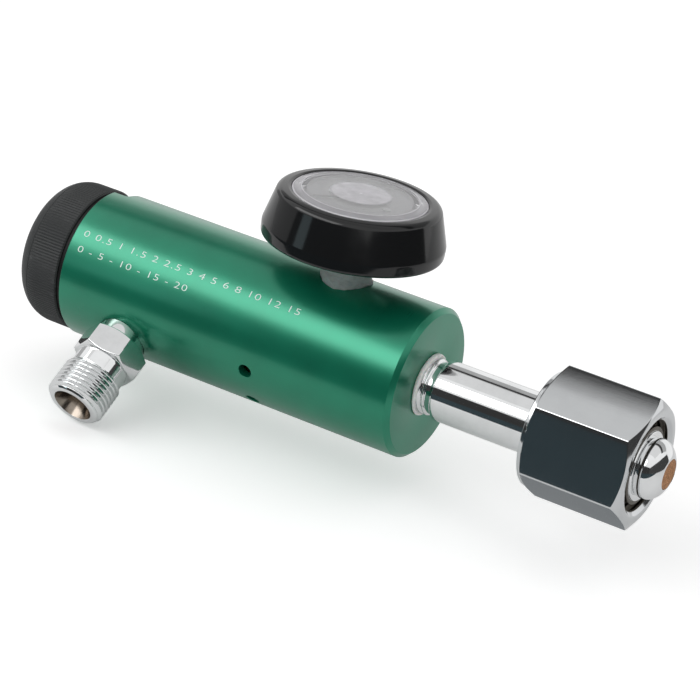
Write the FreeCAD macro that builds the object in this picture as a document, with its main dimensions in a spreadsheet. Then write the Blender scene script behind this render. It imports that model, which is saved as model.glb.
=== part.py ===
import FreeCAD, Part
import math
import os
import re
import Sketcher

# Oxygen regulator for a small cylinder: a selector knob, a green sleeve round a brass core,
# a contents gauge on top, a threaded outlet below and a swivel nut at the inlet.
# Frame: +X runs along the body towards the cylinder valve and +Z points up through the gauge.
# The origin is the mouth of the nut's thread. Depths are measured back from the sleeve's front face.

SIZES = {
    # where the sleeve's front face lies behind the nut's mouth
    "seat_reach": 54.3,
    # green sleeve
    "shell_width": 35.5,
    "shell_length": 89.0,
    "shell_chamfer": 1.1,
    "front_wall": 3.0,
    "rear_bore_depth": 4.1,
    "rear_wall": 0.85,
    "window_length": 3.9,
    "window_arc": 44.0,
    "window_turn": -24.4,
    "window_corner": 1.2,
    "vent_width": 3.3,
    "vent_depth": 37.4,
    "vent_turn": 17.3,
    # brass core and the bores in it
    "core_width": 31.2,
    "core_gap": 0.1,
    "block_length": 13.5,
    "hp_bore_width": 4.0,
    "nozzle_end": 30.0,
    "nozzle_floor": 28.6,
    "nozzle_lip_width": 2.6,
    "nozzle_foot_width": 4.8,
    "orifice_width": 1.5,
    "orifice_start": 27.5,
    "spring_floor": 35.2,
    "cylinder_width": 24.0,
    "rod_groove_start": 33.0,
    "rod_groove_length": 1.5,
    # inlet stem, its nose and its filter
    "neck_width": 12.2,
    "neck_length": 4.0,
    "neck_thread_depth": 9.0,
    "thread_gap": 0.05,
    "tube_width": 14.2,
    "tube_chamfer": 0.5,
    "flange_width": 18.0,
    "flange_length": 3.0,
    "flange_fillet": 1.0,
    "nose_length": 5.7,
    "nose_round": 3.3,
    "stem_bore_width": 4.0,
    "filter_width": 7.0,
    "filter_length": 6.0,
    "filter_gap": 0.03,
    # swivel nut
    "nut_across_flats": 27.0,
    "nut_length": 25.4,
    "nut_turn": 51.9,
    "nut_rim_width": 26.0,
    "nut_wall": 5.0,
    "nut_hole_gap": 0.3,
    "nut_thread_minor": 21.1,
    "nut_relief_width": 23.2,
    "nut_relief_length": 2.2,
    "mouth_sink": 0.8,
    # sealing tape wound on the two threads
    "stem_tape_width": 14.8,
    "stem_tape_length": 0.9,
    "gauge_tape_width": 12.8,
    "gauge_tape_top": 25.3,
    # outlet nipple
    "outlet_back": 5.5,
    "outlet_turn": 124.15,
    "outlet_shank_width": 9.6,
    "outlet_shank_start": 6.4,
    "outlet_seat": 14.0,
    "outlet_neck_width": 12.0,
    "outlet_hex_start": 19.5,
    "outlet_hex_length": 6.5,
    "outlet_across_flats": 14.29,
    "outlet_rim_sink": 0.15,
    "outlet_hex_turn": 46.1,
    "outlet_relief_width": 12.8,
    "outlet_thread_start": 30.2,
    "outlet_end": 38.6,
    "outlet_thread_width": 14.28,
    "outlet_lead": 0.5,
    "outlet_mouth_width": 9.7,
    "outlet_socket_width": 6.6,
    "outlet_socket_start": 31.0,
    "outlet_cone_length": 4.6,
    "outlet_bore_width": 3.2,
    "hole_gap": 0.3,
    # piston, its seat, seals and spring
    "piston_start": 30.8,
    "piston_tip_width": 4.8,
    "piston_tip_length": 1.8,
    "piston_rod_width": 6.0,
    "piston_bore_width": 1.8,
    "piston_cross_width": 0.6,
    "piston_head_back": 9.3,
    "piston_head_length": 7.0,
    "piston_gap": 0.1,
    "seat_width": 3.0,
    "seat_length": 1.0,
    "seal_gap": 0.05,
    "rod_seal_section": 1.16,
    "head_seal_section": 1.64,
    "head_groove_back": 2.5,
    "head_groove_length": 2.0,
    "running_gap": 0.05,
    "spring_wire": 2.2,
    "spring_width": 17.2,
    "spring_turns": 6.5,
    # selector: block, disc, cover, spindle and detent
    "spigot_length": 2.0,
    "rim_depth": 2.7,
    "rim_back": 8.8,
    "rim_width": 26.4,
    "pilot_width": 3.1,
    "pilot_depth": 3.5,
    "port_ring": 7.5,
    "port_width": 2.0,
    "port_pocket_width": 5.2,
    "port_pocket_depth": 3.0,
    "port_spring_turns": 2.5,
    "return_ring": 9.5,
    "return_width": 2.4,
    "disc_width": 25.2,
    "disc_length": 2.0,
    "disc_gap": 0.3,
    "smallest_orifice": 0.4,
    "orifice_step": 0.09,
    "cover_flange": 2.0,
    "cover_length": 6.4,
    "cover_hub_width": 26.6,
    "cover_seal_ring": 28.8,
    "cover_seal_section": 0.76,
    "ring_rise": 2.3,
    "ring_hub_gap": 0.6,
    "ring_length": 1.0,
    "ring_opening": 40.0,
    "spindle_width": 5.0,
    "spindle_flats": 4.0,
    "spindle_top_width": 4.0,
    "spindle_step_gap": 0.3,
    "spindle_end_back": 6.2,
    "spindle_groove_back": 3.2,
    "spindle_seal_section": 1.5,
    "detent_ring": 9.0,
    "detent_count": 12,
    "detent_ball_width": 3.0,
    "detent_gap": 0.1,
    "detent_sink": 0.5,
    "detent_pocket_depth": 4.2,
    "detent_wire": 0.4,
    "detent_spring_width": 2.2,
    "detent_spring_turns": 3.5,
    # knob with the scale skirt, and its screw
    "drum_gap": 0.2,
    "drum_reach": 3.8,
    "drum_wall": 1.9,
    "web_gap": 0.5,
    "knob_width": 34.7,
    "knob_gap": 1.4,
    "knob_length": 13.0,
    "knob_round": 6.8,
    "knob_front_chamfer": 0.4,
    "screw_recess_width": 6.8,
    "screw_recess_depth": 4.0,
    "screw_hole_width": 3.2,
    "screw_width": 2.5,
    "screw_length": 8.0,
    "screw_head_width": 5.5,
    "screw_head_length": 2.5,
    "screw_socket": 2.5,
    "screw_socket_depth": 1.4,
    # contents gauge, heights above the body's axis
    "gauge_depth": 24.6,
    "gauge_flat": 14.2,
    "gauge_flat_width": 14.0,
    "gauge_stem_width": 10.2,
    "gauge_stem_end": 8.0,
    "gauge_port_bottom": 7.6,
    "gauge_bore_width": 2.0,
    "boot_bottom": 25.9,
    "boot_opening": 18.0,
    "boot_foot_width": 41.8,
    "boot_width": 42.0,
    "boot_width_height": 28.9,
    "boot_shoulder_width": 37.5,
    "boot_shoulder": 36.7,
    "boot_lip_width": 32.6,
    "boot_top": 37.55,
    "boot_mouth_width": 31.2,
    "boot_floor": 1.3,
    "boot_foot_round": 1.1,
    "boot_waist_round": 2.4,
    "boot_shoulder_round": 1.0,
    "case_width": 34.0,
    "case_gap": 0.1,
    "case_wall": 0.7,
    "case_floor": 0.8,
    "case_rim": 35.9,
    "lens_flange_top": 36.9,
    "lens_edge_width": 30.8,
    "lens_edge": 37.4,
    "lens_flat_width": 26.8,
    "lens_top": 38.0,
    "lens_thickness": 1.3,
    "dial_width": 29.2,
    "dial_bottom": 34.9,
    "dial_thickness": 0.4,
    "dial_hole_width": 1.8,
    "socket_width": 7.0,
    "socket_reach": 12.8,
    "socket_back": 3.5,
    "socket_top": 31.9,
    "bourdon_ring": 11.5,
    "bourdon_thickness": 1.6,
    "bourdon_height": 3.2,
    "bourdon_bottom": 28.5,
    "bourdon_arc": 262.0,
    "bourdon_slot_arc": 3.0,
    "bourdon_wall": 0.3,
    "bourdon_tip_arc": 5.0,
    "bourdon_feed_width": 1.6,
    "bourdon_feed_aside": 1.0,
    "link_open_gap": 0.3,
    "plate_width": 19.2,
    "plate_thickness": 0.5,
    "upper_plate": 34.1,
    "pillar_width": 1.6,
    "pillar_a_forward": -6.5,
    "pillar_a_aside": -2.5,
    "pillar_b_forward": 6.0,
    "pillar_b_aside": -5.0,
    "pillar_c_forward": -3.0,
    "pillar_c_aside": 8.0,
    "gear_module": 0.2,
    "pinion_teeth": 10,
    "sector_circle_teeth": 60,
    "sector_teeth": 10,
    "pinion_bottom": 32.9,
    "pinion_height": 1.0,
    "sector_bottom": 33.2,
    "sector_thickness": 0.4,
    "sector_hub_width": 2.4,
    "pivot_turn": 64.0,
    "pivot_width": 0.9,
    "tail_turn": -20.0,
    "tail_reach": 3.0,
    "link_bottom": 32.65,
    "link_thickness": 0.3,
    "link_width": 1.0,
    "link_eye_width": 1.7,
    "link_pin_width": 0.8,
    "arbor_width": 1.0,
    "arbor_bottom": 32.05,
    "pointer_bottom": 35.8,
    "pointer_thickness": 0.25,
    "pointer_reach": 11.0,
    "pointer_tail": 4.0,
    "pointer_hub_width": 3.0,
    "pointer_root": 1.3,
    "pointer_tip": 0.4,
    "pointer_turn": 225.0,
    "dial_screw_ring": 7.0,
    "dial_screw_head": 2.0,
    "dial_screw_head_length": 0.2,
    "dial_screw_shank": 1.0,
}

# Places that follow from the sizes above.
PLACES = {
    "rim_end": "shell_length - rim_back",
    "block_end": "rim_end - rim_depth",
    "core_end": "block_end - block_length",
    "outlet_depth": "block_end - outlet_back",
    "piston_head_start": "core_end - piston_head_back",
    "head_groove_start": "piston_head_start + head_groove_back",
    "cover_end": "rim_end + cover_length",
    "drum_start": "shell_length - drum_reach",
    "web_start": "cover_end + web_gap",
    "knob_start": "shell_length + knob_gap",
    "knob_end": "knob_start + knob_length",
    "spindle_step": "cover_end + spindle_step_gap",
    "spindle_end": "knob_end - spindle_end_back",
    "spindle_groove_start": "rim_end + spindle_groove_back",
    "core_start": "front_wall",
    "neck_end": "core_start + neck_thread_depth",
    "neck_hole_end": "neck_end + 8 * thread_gap",
    "piston_head_end": "piston_head_start + piston_head_length",
    "spigot_start": "core_end - spigot_length",
    "rear_bore": "shell_width / 2 - rear_wall",
    "drum_outer": "rear_bore - drum_gap",
    "drum_inner": "drum_outer - drum_wall",
    "disc_start": "block_end + disc_gap",
    "disc_end": "disc_start + disc_length",
    "cover_start": "rim_end",
    "cover_step": "cover_start + cover_flange",
    "ring_end": "cover_step + ring_length",
    "ring_inner": "cover_hub_width / 2 + ring_hub_gap",
    "ring_outer": "ring_inner + ring_rise",
    "pocket_floor": "cover_end - detent_pocket_depth",
    "dimple_width": "detent_ball_width + 2 * detent_gap",
    "dimple_centre": "web_start + detent_sink - dimple_width / 2",
    "ball_centre": "dimple_centre + detent_gap / 2",
    "port_turn": "outlet_turn + 180",
    "detent_turn": "outlet_turn + 90",
    "screw_seat": "knob_end - screw_recess_depth",
    "case_bottom": "boot_bottom + boot_floor + case_gap",
    "case_inside": "case_bottom + case_floor",
    "lens_flange": "case_width / 2 - case_gap",
    "lower_plate": "socket_top",
    "lower_plate_top": "lower_plate + plate_thickness",
    "dial_top": "dial_bottom + dial_thickness",
    "pinion_radius": "gear_module * pinion_teeth / 2",
    "sector_radius": "gear_module * sector_circle_teeth / 2",
    "pivot_ring": "pinion_radius + sector_radius",
    "tape_bottom": "gauge_flat",
    "bourdon_middle": "bourdon_bottom + bourdon_height / 2",
}

MARGIN = 2.0

V = FreeCAD.Vector
X_AXIS = V(1, 0, 0)
Y_AXIS = V(0, 1, 0)
Z_AXIS = V(0, 0, 1)

doc = FreeCAD.newDocument("oxygen_regulator")
sheet = doc.addObject("Spreadsheet::Sheet", "Sizes")
PARTS = []


def fill_sheet():
    """Write every driving size into the sheet under its own name."""
    for row, (name, size) in enumerate(SIZES.items(), start=1):
        sheet.set("A%d" % row, name)
        sheet.set("B%d" % row, str(size))
        sheet.setAlias("B%d" % row, name)
    doc.recompute()


def bind(formula):
    """Turn the names in a formula into references to the sheet's cells."""
    def reference(match):
        name = match.group(0)
        if name in PLACES:
            return "(" + bind(PLACES[name]) + ")"
        return "Sizes." + name if name in SIZES else name
    return re.sub(r"[a-z][a-z_]*[a-z]", reference, formula)


def size(formula):
    """Return a formula's value as a number."""
    return float(sheet.evalExpression(bind(formula)))


def behind(depth):
    """Return the formula of a point's x from its depth behind the sleeve's front face."""
    return "-(seat_reach + %s)" % depth


def drive(thing, prop, formula):
    """Tie a property of a feature to the sheet."""
    thing.setExpression(prop, bind(formula))


def lay(thing, x="0", y="0", z="0", axis=X_AXIS, turn="0"):
    """Place a feature, with each coordinate and its turn tied to the sheet."""
    thing.Placement = FreeCAD.Placement(V(0, 0, 0), FreeCAD.Rotation(axis, size(turn)))
    drive(thing, "Placement.Base.x", x)
    drive(thing, "Placement.Base.y", y)
    drive(thing, "Placement.Base.z", z)
    drive(thing, "Placement.Rotation.Angle", turn)
    return thing


def finished(label, thing):
    """Name a sub-part and add it to the list that is written out."""
    thing.Label = label
    PARTS.append(thing)
    return thing


def new_sketch(body, name, role):
    """Add a sketch on one of the body's own origin planes."""
    sketch = body.newObject("Sketcher::SketchObject", name)
    plane = [item for item in body.Origin.OriginFeatures if item.Role == role][0]
    sketch.AttachmentSupport = [(plane, "")]
    sketch.MapMode = "FlatFace"
    return sketch


def draw(sketch, points):
    """Draw a closed outline of straight runs through points that are tied to the sheet."""
    corners = [V(size(across), size(up), 0) for across, up in points]
    first = sketch.GeometryCount
    count = len(corners)
    for index in range(count):
        run = Part.LineSegment(corners[index], corners[(index + 1) % count])
        sketch.addGeometry(run, False)
    for index in range(count):
        follower = first + (index + 1) % count
        sketch.addConstraint(Sketcher.Constraint("Coincident", first + index, 2, follower, 1))
    for index, (across, up) in enumerate(points):
        for kind, formula, start in (
            ("DistanceX", across, corners[index].x),
            ("DistanceY", up, corners[index].y),
        ):
            rule = Sketcher.Constraint(kind, -1, 1, first + index, 1, start)
            place = sketch.addConstraint(rule)
            sketch.setExpression("Constraints[%d]" % place, bind(formula))


def turned(name, points, upright=False, angle=None):
    """Turn an outline of (along the axis, radius) points about X, or about Z when upright."""
    body = doc.addObject("PartDesign::Body", name)
    doc.recompute()
    sketch = new_sketch(body, name + "_outline", "XZ_Plane")
    if upright:
        points = [(radius, along) for along, radius in points]
    draw(sketch, points)
    feature = body.newObject("PartDesign::Revolution", name + "_turned")
    feature.Profile = sketch
    feature.ReferenceAxis = (sketch, ["V_Axis" if upright else "H_Axis"])
    feature.Angle = 360.0
    if angle:
        drive(feature, "Angle", angle)
    doc.recompute()
    return body


def turned_inside(name, points):
    """Turn an outline of (depth, radius) points and lay it behind the sleeve's front face."""
    body = turned(name, [("-(%s)" % depth, radius) for depth, radius in points])
    return lay(body, x="-seat_reach")


def plate(name, points, bottom, thickness):
    """Raise a flat outline from the height of its bottom face."""
    body = doc.addObject("PartDesign::Body", name)
    doc.recompute()
    sketch = new_sketch(body, name + "_outline", "XY_Plane")
    draw(sketch, points)
    feature = body.newObject("PartDesign::Pad", name + "_raised")
    feature.Profile = sketch
    drive(feature, "Length", thickness)
    doc.recompute()
    return lay(body, z=bottom)


def rims(feature, wanted, upright=False):
    """Name the round edges of a feature at given (along the axis, radius) places."""
    names = []
    for index, edge in enumerate(feature.Shape.Edges, start=1):
        if not hasattr(edge.Curve, "Radius"):
            continue
        centre = edge.Curve.Center
        along = centre.z if upright else centre.x
        for place, radius in wanted:
            if abs(along - size(place)) < 0.001 and abs(edge.Curve.Radius - size(radius)) < 0.001:
                names.append("Edge%d" % index)
    return names


def eased(body, kind, amount, wanted, upright=False):
    """Round or chamfer the rims of a turned body at given places."""
    base = body.Tip
    easing = body.newObject("PartDesign::" + kind, "%s_%s%d" % (body.Name, kind, len(body.Group)))
    easing.Base = (base, rims(base, wanted, upright))
    drive(easing, "Radius" if kind == "Fillet" else "Size", amount)
    body.Tip = easing
    doc.recompute()
    return body


def round_bar(name, radius, length, **place):
    """Make a plain cylinder as a tool or a simple piece."""
    bar = doc.addObject("Part::Cylinder", name)
    drive(bar, "Radius", radius)
    drive(bar, "Height", length)
    return lay(bar, **place)


def radial_bar(name, radius, start, end, depth, turn):
    """Make a cylinder that points out from the body's axis, at a turn about X from straight up."""
    return round_bar(
        name, radius, "%s - (%s)" % (end, start),
        x=behind(depth),
        y="-(%s) * sin(%s)" % (start, turn),
        z="(%s) * cos(%s)" % (start, turn),
        turn=turn,
    )


def axial_bar(name, radius, rear, front, ring="0", turn="0"):
    """Make a cylinder along X between two depths, off the axis by the radius of a ring."""
    return round_bar(
        name, radius, "%s - (%s)" % (rear, front),
        x=behind(rear),
        y="-(%s) * sin(%s)" % (ring, turn),
        z="(%s) * cos(%s)" % (ring, turn),
        axis=Y_AXIS,
        turn="90",
    )


def block(name, length, width, height, **place):
    """Make a rectangular block from one corner."""
    box = doc.addObject("Part::Box", name)
    drive(box, "Length", length)
    drive(box, "Width", width)
    drive(box, "Height", height)
    return lay(box, **place)


def joined(name, pieces):
    """Fuse pieces into one solid."""
    if len(pieces) == 1:
        return pieces[0]
    fused = doc.addObject("Part::MultiFuse", name)
    fused.Shapes = pieces
    doc.recompute()
    return fused


def without(name, base, tools):
    """Cut tools out of a base."""
    cut = doc.addObject("Part::Cut", name)
    cut.Base = base
    cut.Tool = joined(name + "_tools", tools)
    doc.recompute()
    return cut


def common(name, base, tool):
    """Keep what two pieces share."""
    shared = doc.addObject("Part::Common", name)
    shared.Base = base
    shared.Tool = tool
    doc.recompute()
    return shared


def o_ring(name, ring, section, **place):
    """Make a rubber ring from its mean radius and its section's width."""
    torus = doc.addObject("Part::Torus", name)
    drive(torus, "Radius1", ring)
    drive(torus, "Radius2", "(%s) / 2" % section)
    return lay(torus, **place)


def fixed_shape(name, shape, place=None):
    """Hold a shape that was worked out in code."""
    holder = doc.addObject("Part::Feature", name)
    holder.Shape = shape
    if place:
        holder.Placement = place
    return holder


def hexagon(name, across_flats, start, length, upright_turn):
    """Make a hexagonal prism about Z from a sketch of its six corners."""
    body = doc.addObject("PartDesign::Body", name)
    doc.recompute()
    sketch = new_sketch(body, name + "_outline", "XY_Plane")
    corner = "%s / 2 / cos(30)" % across_flats
    points = []
    for index in range(6):
        angle = "%s + %d" % (upright_turn, 60 * index)
        points.append(("%s * cos(%s)" % (corner, angle), "%s * sin(%s)" % (corner, angle)))
    draw(sketch, points)
    feature = body.newObject("PartDesign::Pad", name + "_raised")
    feature.Profile = sketch
    drive(feature, "Length", length)
    doc.recompute()
    return lay(body, z=start)


def coil(name, wire, width, turns, rear, front, ring="0", turn="0"):
    """Make a coil spring along X between two depths, with its wire just clear of both seats."""
    wire_radius = size(wire) / 2
    radius = size(width) / 2
    free = size("%s - (%s)" % (rear, front)) - 2 * (wire_radius + size("running_gap"))
    path = Part.makeHelix(free / size(turns), free, radius)
    section = Part.Wire(Part.makeCircle(wire_radius, V(radius, 0, 0), Y_AXIS))
    shape = Part.Wire(path.Edges).makePipeShell([section], True, True)
    lift = size(rear) - wire_radius - size("running_gap")
    angle = math.radians(size(turn))
    spot = V(-size("seat_reach") - lift, -size(ring) * math.sin(angle), size(ring) * math.cos(angle))
    return fixed_shape(name, shape, FreeCAD.Placement(spot, FreeCAD.Rotation(Y_AXIS, 90)))


def make_shell():
    """Green sleeve: a cup with a chamfered front, vents, two ports and the flow window."""
    outer = "shell_width / 2"
    bore = "core_width / 2 + core_gap"
    rear = "rear_bore"
    step = "shell_length - rear_bore_depth"
    groove = "ring_outer + core_gap"
    body = turned_inside("shell_blank", [
        ("0", "neck_width / 2 + running_gap"),
        ("0", outer),
        ("shell_length", outer),
        ("shell_length", rear),
        (step, rear),
        (step, bore),
        ("ring_end + running_gap", bore),
        ("ring_end + running_gap", groove),
        ("cover_step - running_gap", groove),
        ("cover_step - running_gap", bore),
        ("front_wall", bore),
        ("front_wall", "neck_width / 2 + running_gap"),
    ])
    eased(body, "Chamfer", "shell_chamfer", [("0", outer)])
    wide = outer + " + %g" % MARGIN
    tools = [
        radial_bar("gauge_hole", "gauge_tape_width / 2 + hole_gap", "0", wide, "gauge_depth", "0"),
        radial_bar("outlet_hole", "outlet_neck_width / 2 + hole_gap", "0", wide, "outlet_depth",
                   "outlet_turn"),
        radial_bar("vent_hole_a", "vent_width / 2", "0", wide, "vent_depth", "outlet_turn - vent_turn"),
        radial_bar("vent_hole_b", "vent_width / 2", "0", wide, "vent_depth", "outlet_turn + vent_turn"),
        flow_window(),
    ]
    finished("shell", without("shell_cut", body, tools))


def flow_window():
    """The notch in the sleeve's rear edge that shows one number of the scale."""
    half = "shell_width / 2 * sin(window_arc / 2)"
    slot = block(
        "window_slot", "window_length - window_corner + %g" % MARGIN, "2 * " + half,
        "shell_width / 2",
        x=behind("shell_length + %g" % MARGIN), y="-" + half,
    )
    tip = block(
        "window_tip", "window_corner + %g" % MARGIN, "2 * (%s - window_corner)" % half,
        "shell_width / 2",
        x=behind("shell_length - window_length + window_corner + %g" % MARGIN),
        y="-(%s - window_corner)" % half,
    )
    corners = []
    for side in (-1, 1):
        corners.append(round_bar(
            "window_corner_%d" % (side + 1), "window_corner", "shell_width / 2",
            x=behind("shell_length - window_length + window_corner"),
            y="%d * (%s - window_corner)" % (side, half),
        ))
    whole = joined("window_whole", [slot, tip] + corners)
    return lay(whole, turn="window_turn")


def make_core():
    """Brass core: inlet thread, nozzle, rod guide and the cylinder that the piston slides in."""
    bore = "cylinder_width / 2"
    guide = "piston_rod_width / 2 + running_gap"
    neck = "neck_width / 2 + thread_gap"
    groove_end = "rod_groove_start + rod_groove_length"
    groove = guide + " + rod_seal_section + seal_gap"
    body = turned_inside("core_blank", [
        ("core_start", neck),
        ("core_start", "core_width / 2"),
        ("core_end", "core_width / 2"),
        ("core_end", bore),
        ("spring_floor", bore),
        ("spring_floor", guide),
        (groove_end, guide),
        (groove_end, groove),
        ("rod_groove_start", groove),
        ("rod_groove_start", guide),
        ("nozzle_floor", guide),
        ("nozzle_floor", "nozzle_foot_width / 2"),
        ("nozzle_end", "nozzle_lip_width / 2"),
        ("nozzle_end", "orifice_width / 2"),
        ("orifice_start", "orifice_width / 2"),
        ("orifice_start", "hp_bore_width / 2"),
        ("neck_hole_end", "hp_bore_width / 2"),
        ("neck_hole_end", neck),
    ])
    wide = "core_width / 2 + %g" % MARGIN
    tools = [
        radial_bar("gauge_spot_face", "gauge_flat_width / 2", "gauge_flat", wide, "gauge_depth", "0"),
        radial_bar("gauge_port", "gauge_stem_width / 2 + thread_gap", "gauge_port_bottom", wide,
                   "gauge_depth", "0"),
        radial_bar("gauge_passage", "gauge_bore_width / 2", "0", wide, "gauge_depth", "0"),
        radial_bar("core_vent_a", "vent_width / 2", "cylinder_width / 2 - 1", wide, "vent_depth",
                   "outlet_turn - vent_turn"),
        radial_bar("core_vent_b", "vent_width / 2", "cylinder_width / 2 - 1", wide, "vent_depth",
                   "outlet_turn + vent_turn"),
    ]
    finished("core_body", without("core_cut", body, tools))


def make_inlet_stem():
    """Plated inlet stem in one piece: threaded neck, tube, thrust flange and rounded nose."""
    tube = "tube_width / 2"
    flange = "flange_width / 2"
    flat = "tube_width / 2 - nose_round"
    tube_start = "neck_length - seat_reach"
    pocket = "filter_width / 2 + filter_gap"
    pocket_floor = "nose_length - filter_length - filter_gap"
    body = turned("stem_blank", [
        ("-(seat_reach + neck_end)", "stem_bore_width / 2"),
        ("-(seat_reach + neck_end)", "neck_width / 2"),
        (tube_start, "neck_width / 2"),
        (tube_start, tube),
        ("-flange_length", tube),
        ("-flange_length", flange),
        ("0", flange),
        ("0", tube),
        ("nose_length", tube),
        ("nose_length", pocket),
        (pocket_floor, pocket),
        (pocket_floor, "stem_bore_width / 2"),
    ])
    assert size(flat) > size(pocket), "the nose's flat end must be wider than the filter"
    eased(body, "Fillet", "nose_round", [("nose_length", tube)])
    eased(body, "Fillet", "flange_fillet", [("0", tube)])
    eased(body, "Chamfer", "tube_chamfer", [(tube_start, tube)])
    finished("inlet_stem", body)


def make_inlet_filter():
    """Sintered bronze filter plug, flush with the end of the nose."""
    plug = turned("filter_blank", [
        ("nose_length - filter_length", "0"),
        ("nose_length - filter_length", "filter_width / 2"),
        ("nose_length", "filter_width / 2"),
        ("nose_length", "0"),
    ])
    finished("inlet_filter", plug)


def make_nut():
    """Hexagonal swivel nut: both ends turned to a chamfer, a thread bore and a hole for the stem."""
    front = "mouth_sink"
    rear = "mouth_sink - nut_length"
    rim = "nut_rim_width / 2"
    corner = "(nut_across_flats / 2 / cos(30))"
    slope = "((%s + 1 - %s) * tan(30))" % (corner, rim)
    bore = "nut_thread_minor / 2"
    relief = "nut_relief_width / 2"
    floor = "%s + nut_wall" % rear
    hole = "tube_width / 2 + nut_hole_gap"
    blank = turned("nut_turned", [
        (rear, hole),
        (rear, rim),
        ("%s + %s" % (rear, slope), corner + " + 1"),
        ("%s - %s" % (front, slope), corner + " + 1"),
        (front, rim),
        (front, bore + " + mouth_sink"),
        ("0", bore),
        ("%s + nut_relief_length" % floor, bore),
        ("%s + nut_relief_length" % floor, relief),
        (floor, relief),
        (floor, hole),
    ])
    bar = hexagon("nut_bar", "nut_across_flats", "0", "nut_length", "nut_turn")
    lay(bar, x=rear, axis=Y_AXIS, turn="90")
    finished("inlet_nut", common("nut_common", blank, bar))


def make_tapes():
    """White sealing tape wound where the stem and the gauge screw in."""
    stem_tape = turned_inside("stem_tape_wound", [
        ("0", "neck_width / 2 + running_gap"),
        ("0", "stem_tape_width / 2"),
        ("-stem_tape_length", "stem_tape_width / 2"),
        ("-stem_tape_length", "neck_width / 2 + running_gap"),
    ])
    finished("stem_thread_tape", stem_tape)
    gauge_tape = turned("gauge_tape_wound", [
        ("tape_bottom", "gauge_stem_width / 2 + running_gap"),
        ("tape_bottom", "gauge_tape_width / 2"),
        ("gauge_tape_top", "gauge_tape_width / 2"),
        ("gauge_tape_top", "gauge_stem_width / 2 + running_gap"),
    ], upright=True)
    finished("gauge_thread_tape", lay(gauge_tape, x=behind("gauge_depth")))


def make_outlet():
    """Plated outlet nipple: screwed shank, neck, hexagon, thread and a coned socket in its end."""
    hex_end = "outlet_hex_start + outlet_hex_length"
    corner = "(outlet_across_flats / 2 / cos(30))"
    rim = "(outlet_across_flats / 2 - outlet_rim_sink)"
    slope = "((%s - %s) * tan(30))" % (corner, rim)
    cone_floor = "outlet_end - outlet_cone_length"
    blank = turned("outlet_turned", [
        ("outlet_shank_start", "outlet_bore_width / 2"),
        ("outlet_shank_start", "outlet_shank_width / 2"),
        ("outlet_seat", "outlet_shank_width / 2"),
        ("outlet_seat", "outlet_neck_width / 2"),
        ("outlet_hex_start", "outlet_neck_width / 2"),
        ("outlet_hex_start", rim),
        ("outlet_hex_start + " + slope, corner),
        ("%s - %s" % (hex_end, slope), corner),
        (hex_end, rim),
        (hex_end, "outlet_relief_width / 2"),
        ("outlet_thread_start", "outlet_relief_width / 2"),
        ("outlet_thread_start", "outlet_thread_width / 2"),
        ("outlet_end - outlet_lead", "outlet_thread_width / 2"),
        ("outlet_end", "outlet_thread_width / 2 - outlet_lead"),
        ("outlet_end", "outlet_mouth_width / 2"),
        (cone_floor, "outlet_socket_width / 2"),
        ("outlet_socket_start", "outlet_socket_width / 2"),
        ("outlet_socket_start", "outlet_bore_width / 2"),
    ], upright=True)
    prism = hexagon("outlet_bar", "outlet_across_flats", "outlet_hex_start", "outlet_hex_length",
                    "outlet_hex_turn")
    above = round_bar("outlet_above", "outlet_thread_width / 2", "outlet_end - (%s)" % hex_end, z=hex_end)
    below = round_bar("outlet_below", "outlet_neck_width / 2", "outlet_hex_start - outlet_shank_start",
                      z="outlet_shank_start")
    envelope = joined("outlet_envelope", [prism, above, below])
    nipple = common("outlet_common", blank, envelope)
    lay(nipple, x=behind("outlet_depth"), turn="outlet_turn")
    finished("outlet_nipple", nipple)


def make_piston():
    """Brass piston: hollow rod with a cross hole near its tip, and a grooved head."""
    rod = "piston_rod_width / 2"
    head = "cylinder_width / 2 - piston_gap"
    tip_end = "piston_start + piston_tip_length"
    groove = "cylinder_width / 2 - head_seal_section - seal_gap"
    groove_end = "head_groove_start + head_groove_length"
    seat_floor = "piston_start + seat_length"
    body = turned_inside("piston_blank", [
        ("piston_start", "seat_width / 2"),
        ("piston_start", "piston_tip_width / 2"),
        (tip_end, "piston_tip_width / 2"),
        (tip_end, rod),
        ("piston_head_start", rod),
        ("piston_head_start", head),
        ("head_groove_start", head),
        ("head_groove_start", groove),
        (groove_end, groove),
        (groove_end, head),
        ("piston_head_end", head),
        ("piston_head_end", "piston_bore_width / 2"),
        (seat_floor, "piston_bore_width / 2"),
        (seat_floor, "seat_width / 2"),
    ])
    cross = "(%s + %s) / 2" % (seat_floor, tip_end)
    hole = round_bar(
        "piston_cross_hole", "piston_cross_width / 2", "2 * piston_rod_width",
        x=behind(cross), z="-piston_rod_width",
    )
    finished("regulating_piston", without("piston_cut", body, [hole]))
    seat = turned_inside("seat_blank", [
        ("piston_start", "0"),
        ("piston_start", "seat_width / 2 - filter_gap"),
        (seat_floor, "seat_width / 2 - filter_gap"),
        (seat_floor, "0"),
    ])
    finished("piston_seat", seat)


def make_piston_seals():
    """Rubber rings round the piston's rod and head."""
    rod_ring = "piston_rod_width / 2 + running_gap + rod_seal_section / 2"
    rod_place = behind("rod_groove_start + rod_groove_length / 2")
    rod_seal = o_ring("rod_seal", rod_ring, "rod_seal_section", x=rod_place, axis=Y_AXIS, turn="90")
    finished("piston_rod_seal", rod_seal)
    head_ring = "cylinder_width / 2 - seal_gap / 2 - head_seal_section / 2"
    head_place = behind("head_groove_start + head_groove_length / 2")
    head_seal = o_ring("head_seal", head_ring, "head_seal_section", x=head_place, axis=Y_AXIS, turn="90")
    finished("piston_head_seal", head_seal)
    spring = coil("main_spring", "spring_wire", "spring_width", "spring_turns",
                  "piston_head_start", "spring_floor")
    finished("regulating_spring", spring)


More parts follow.
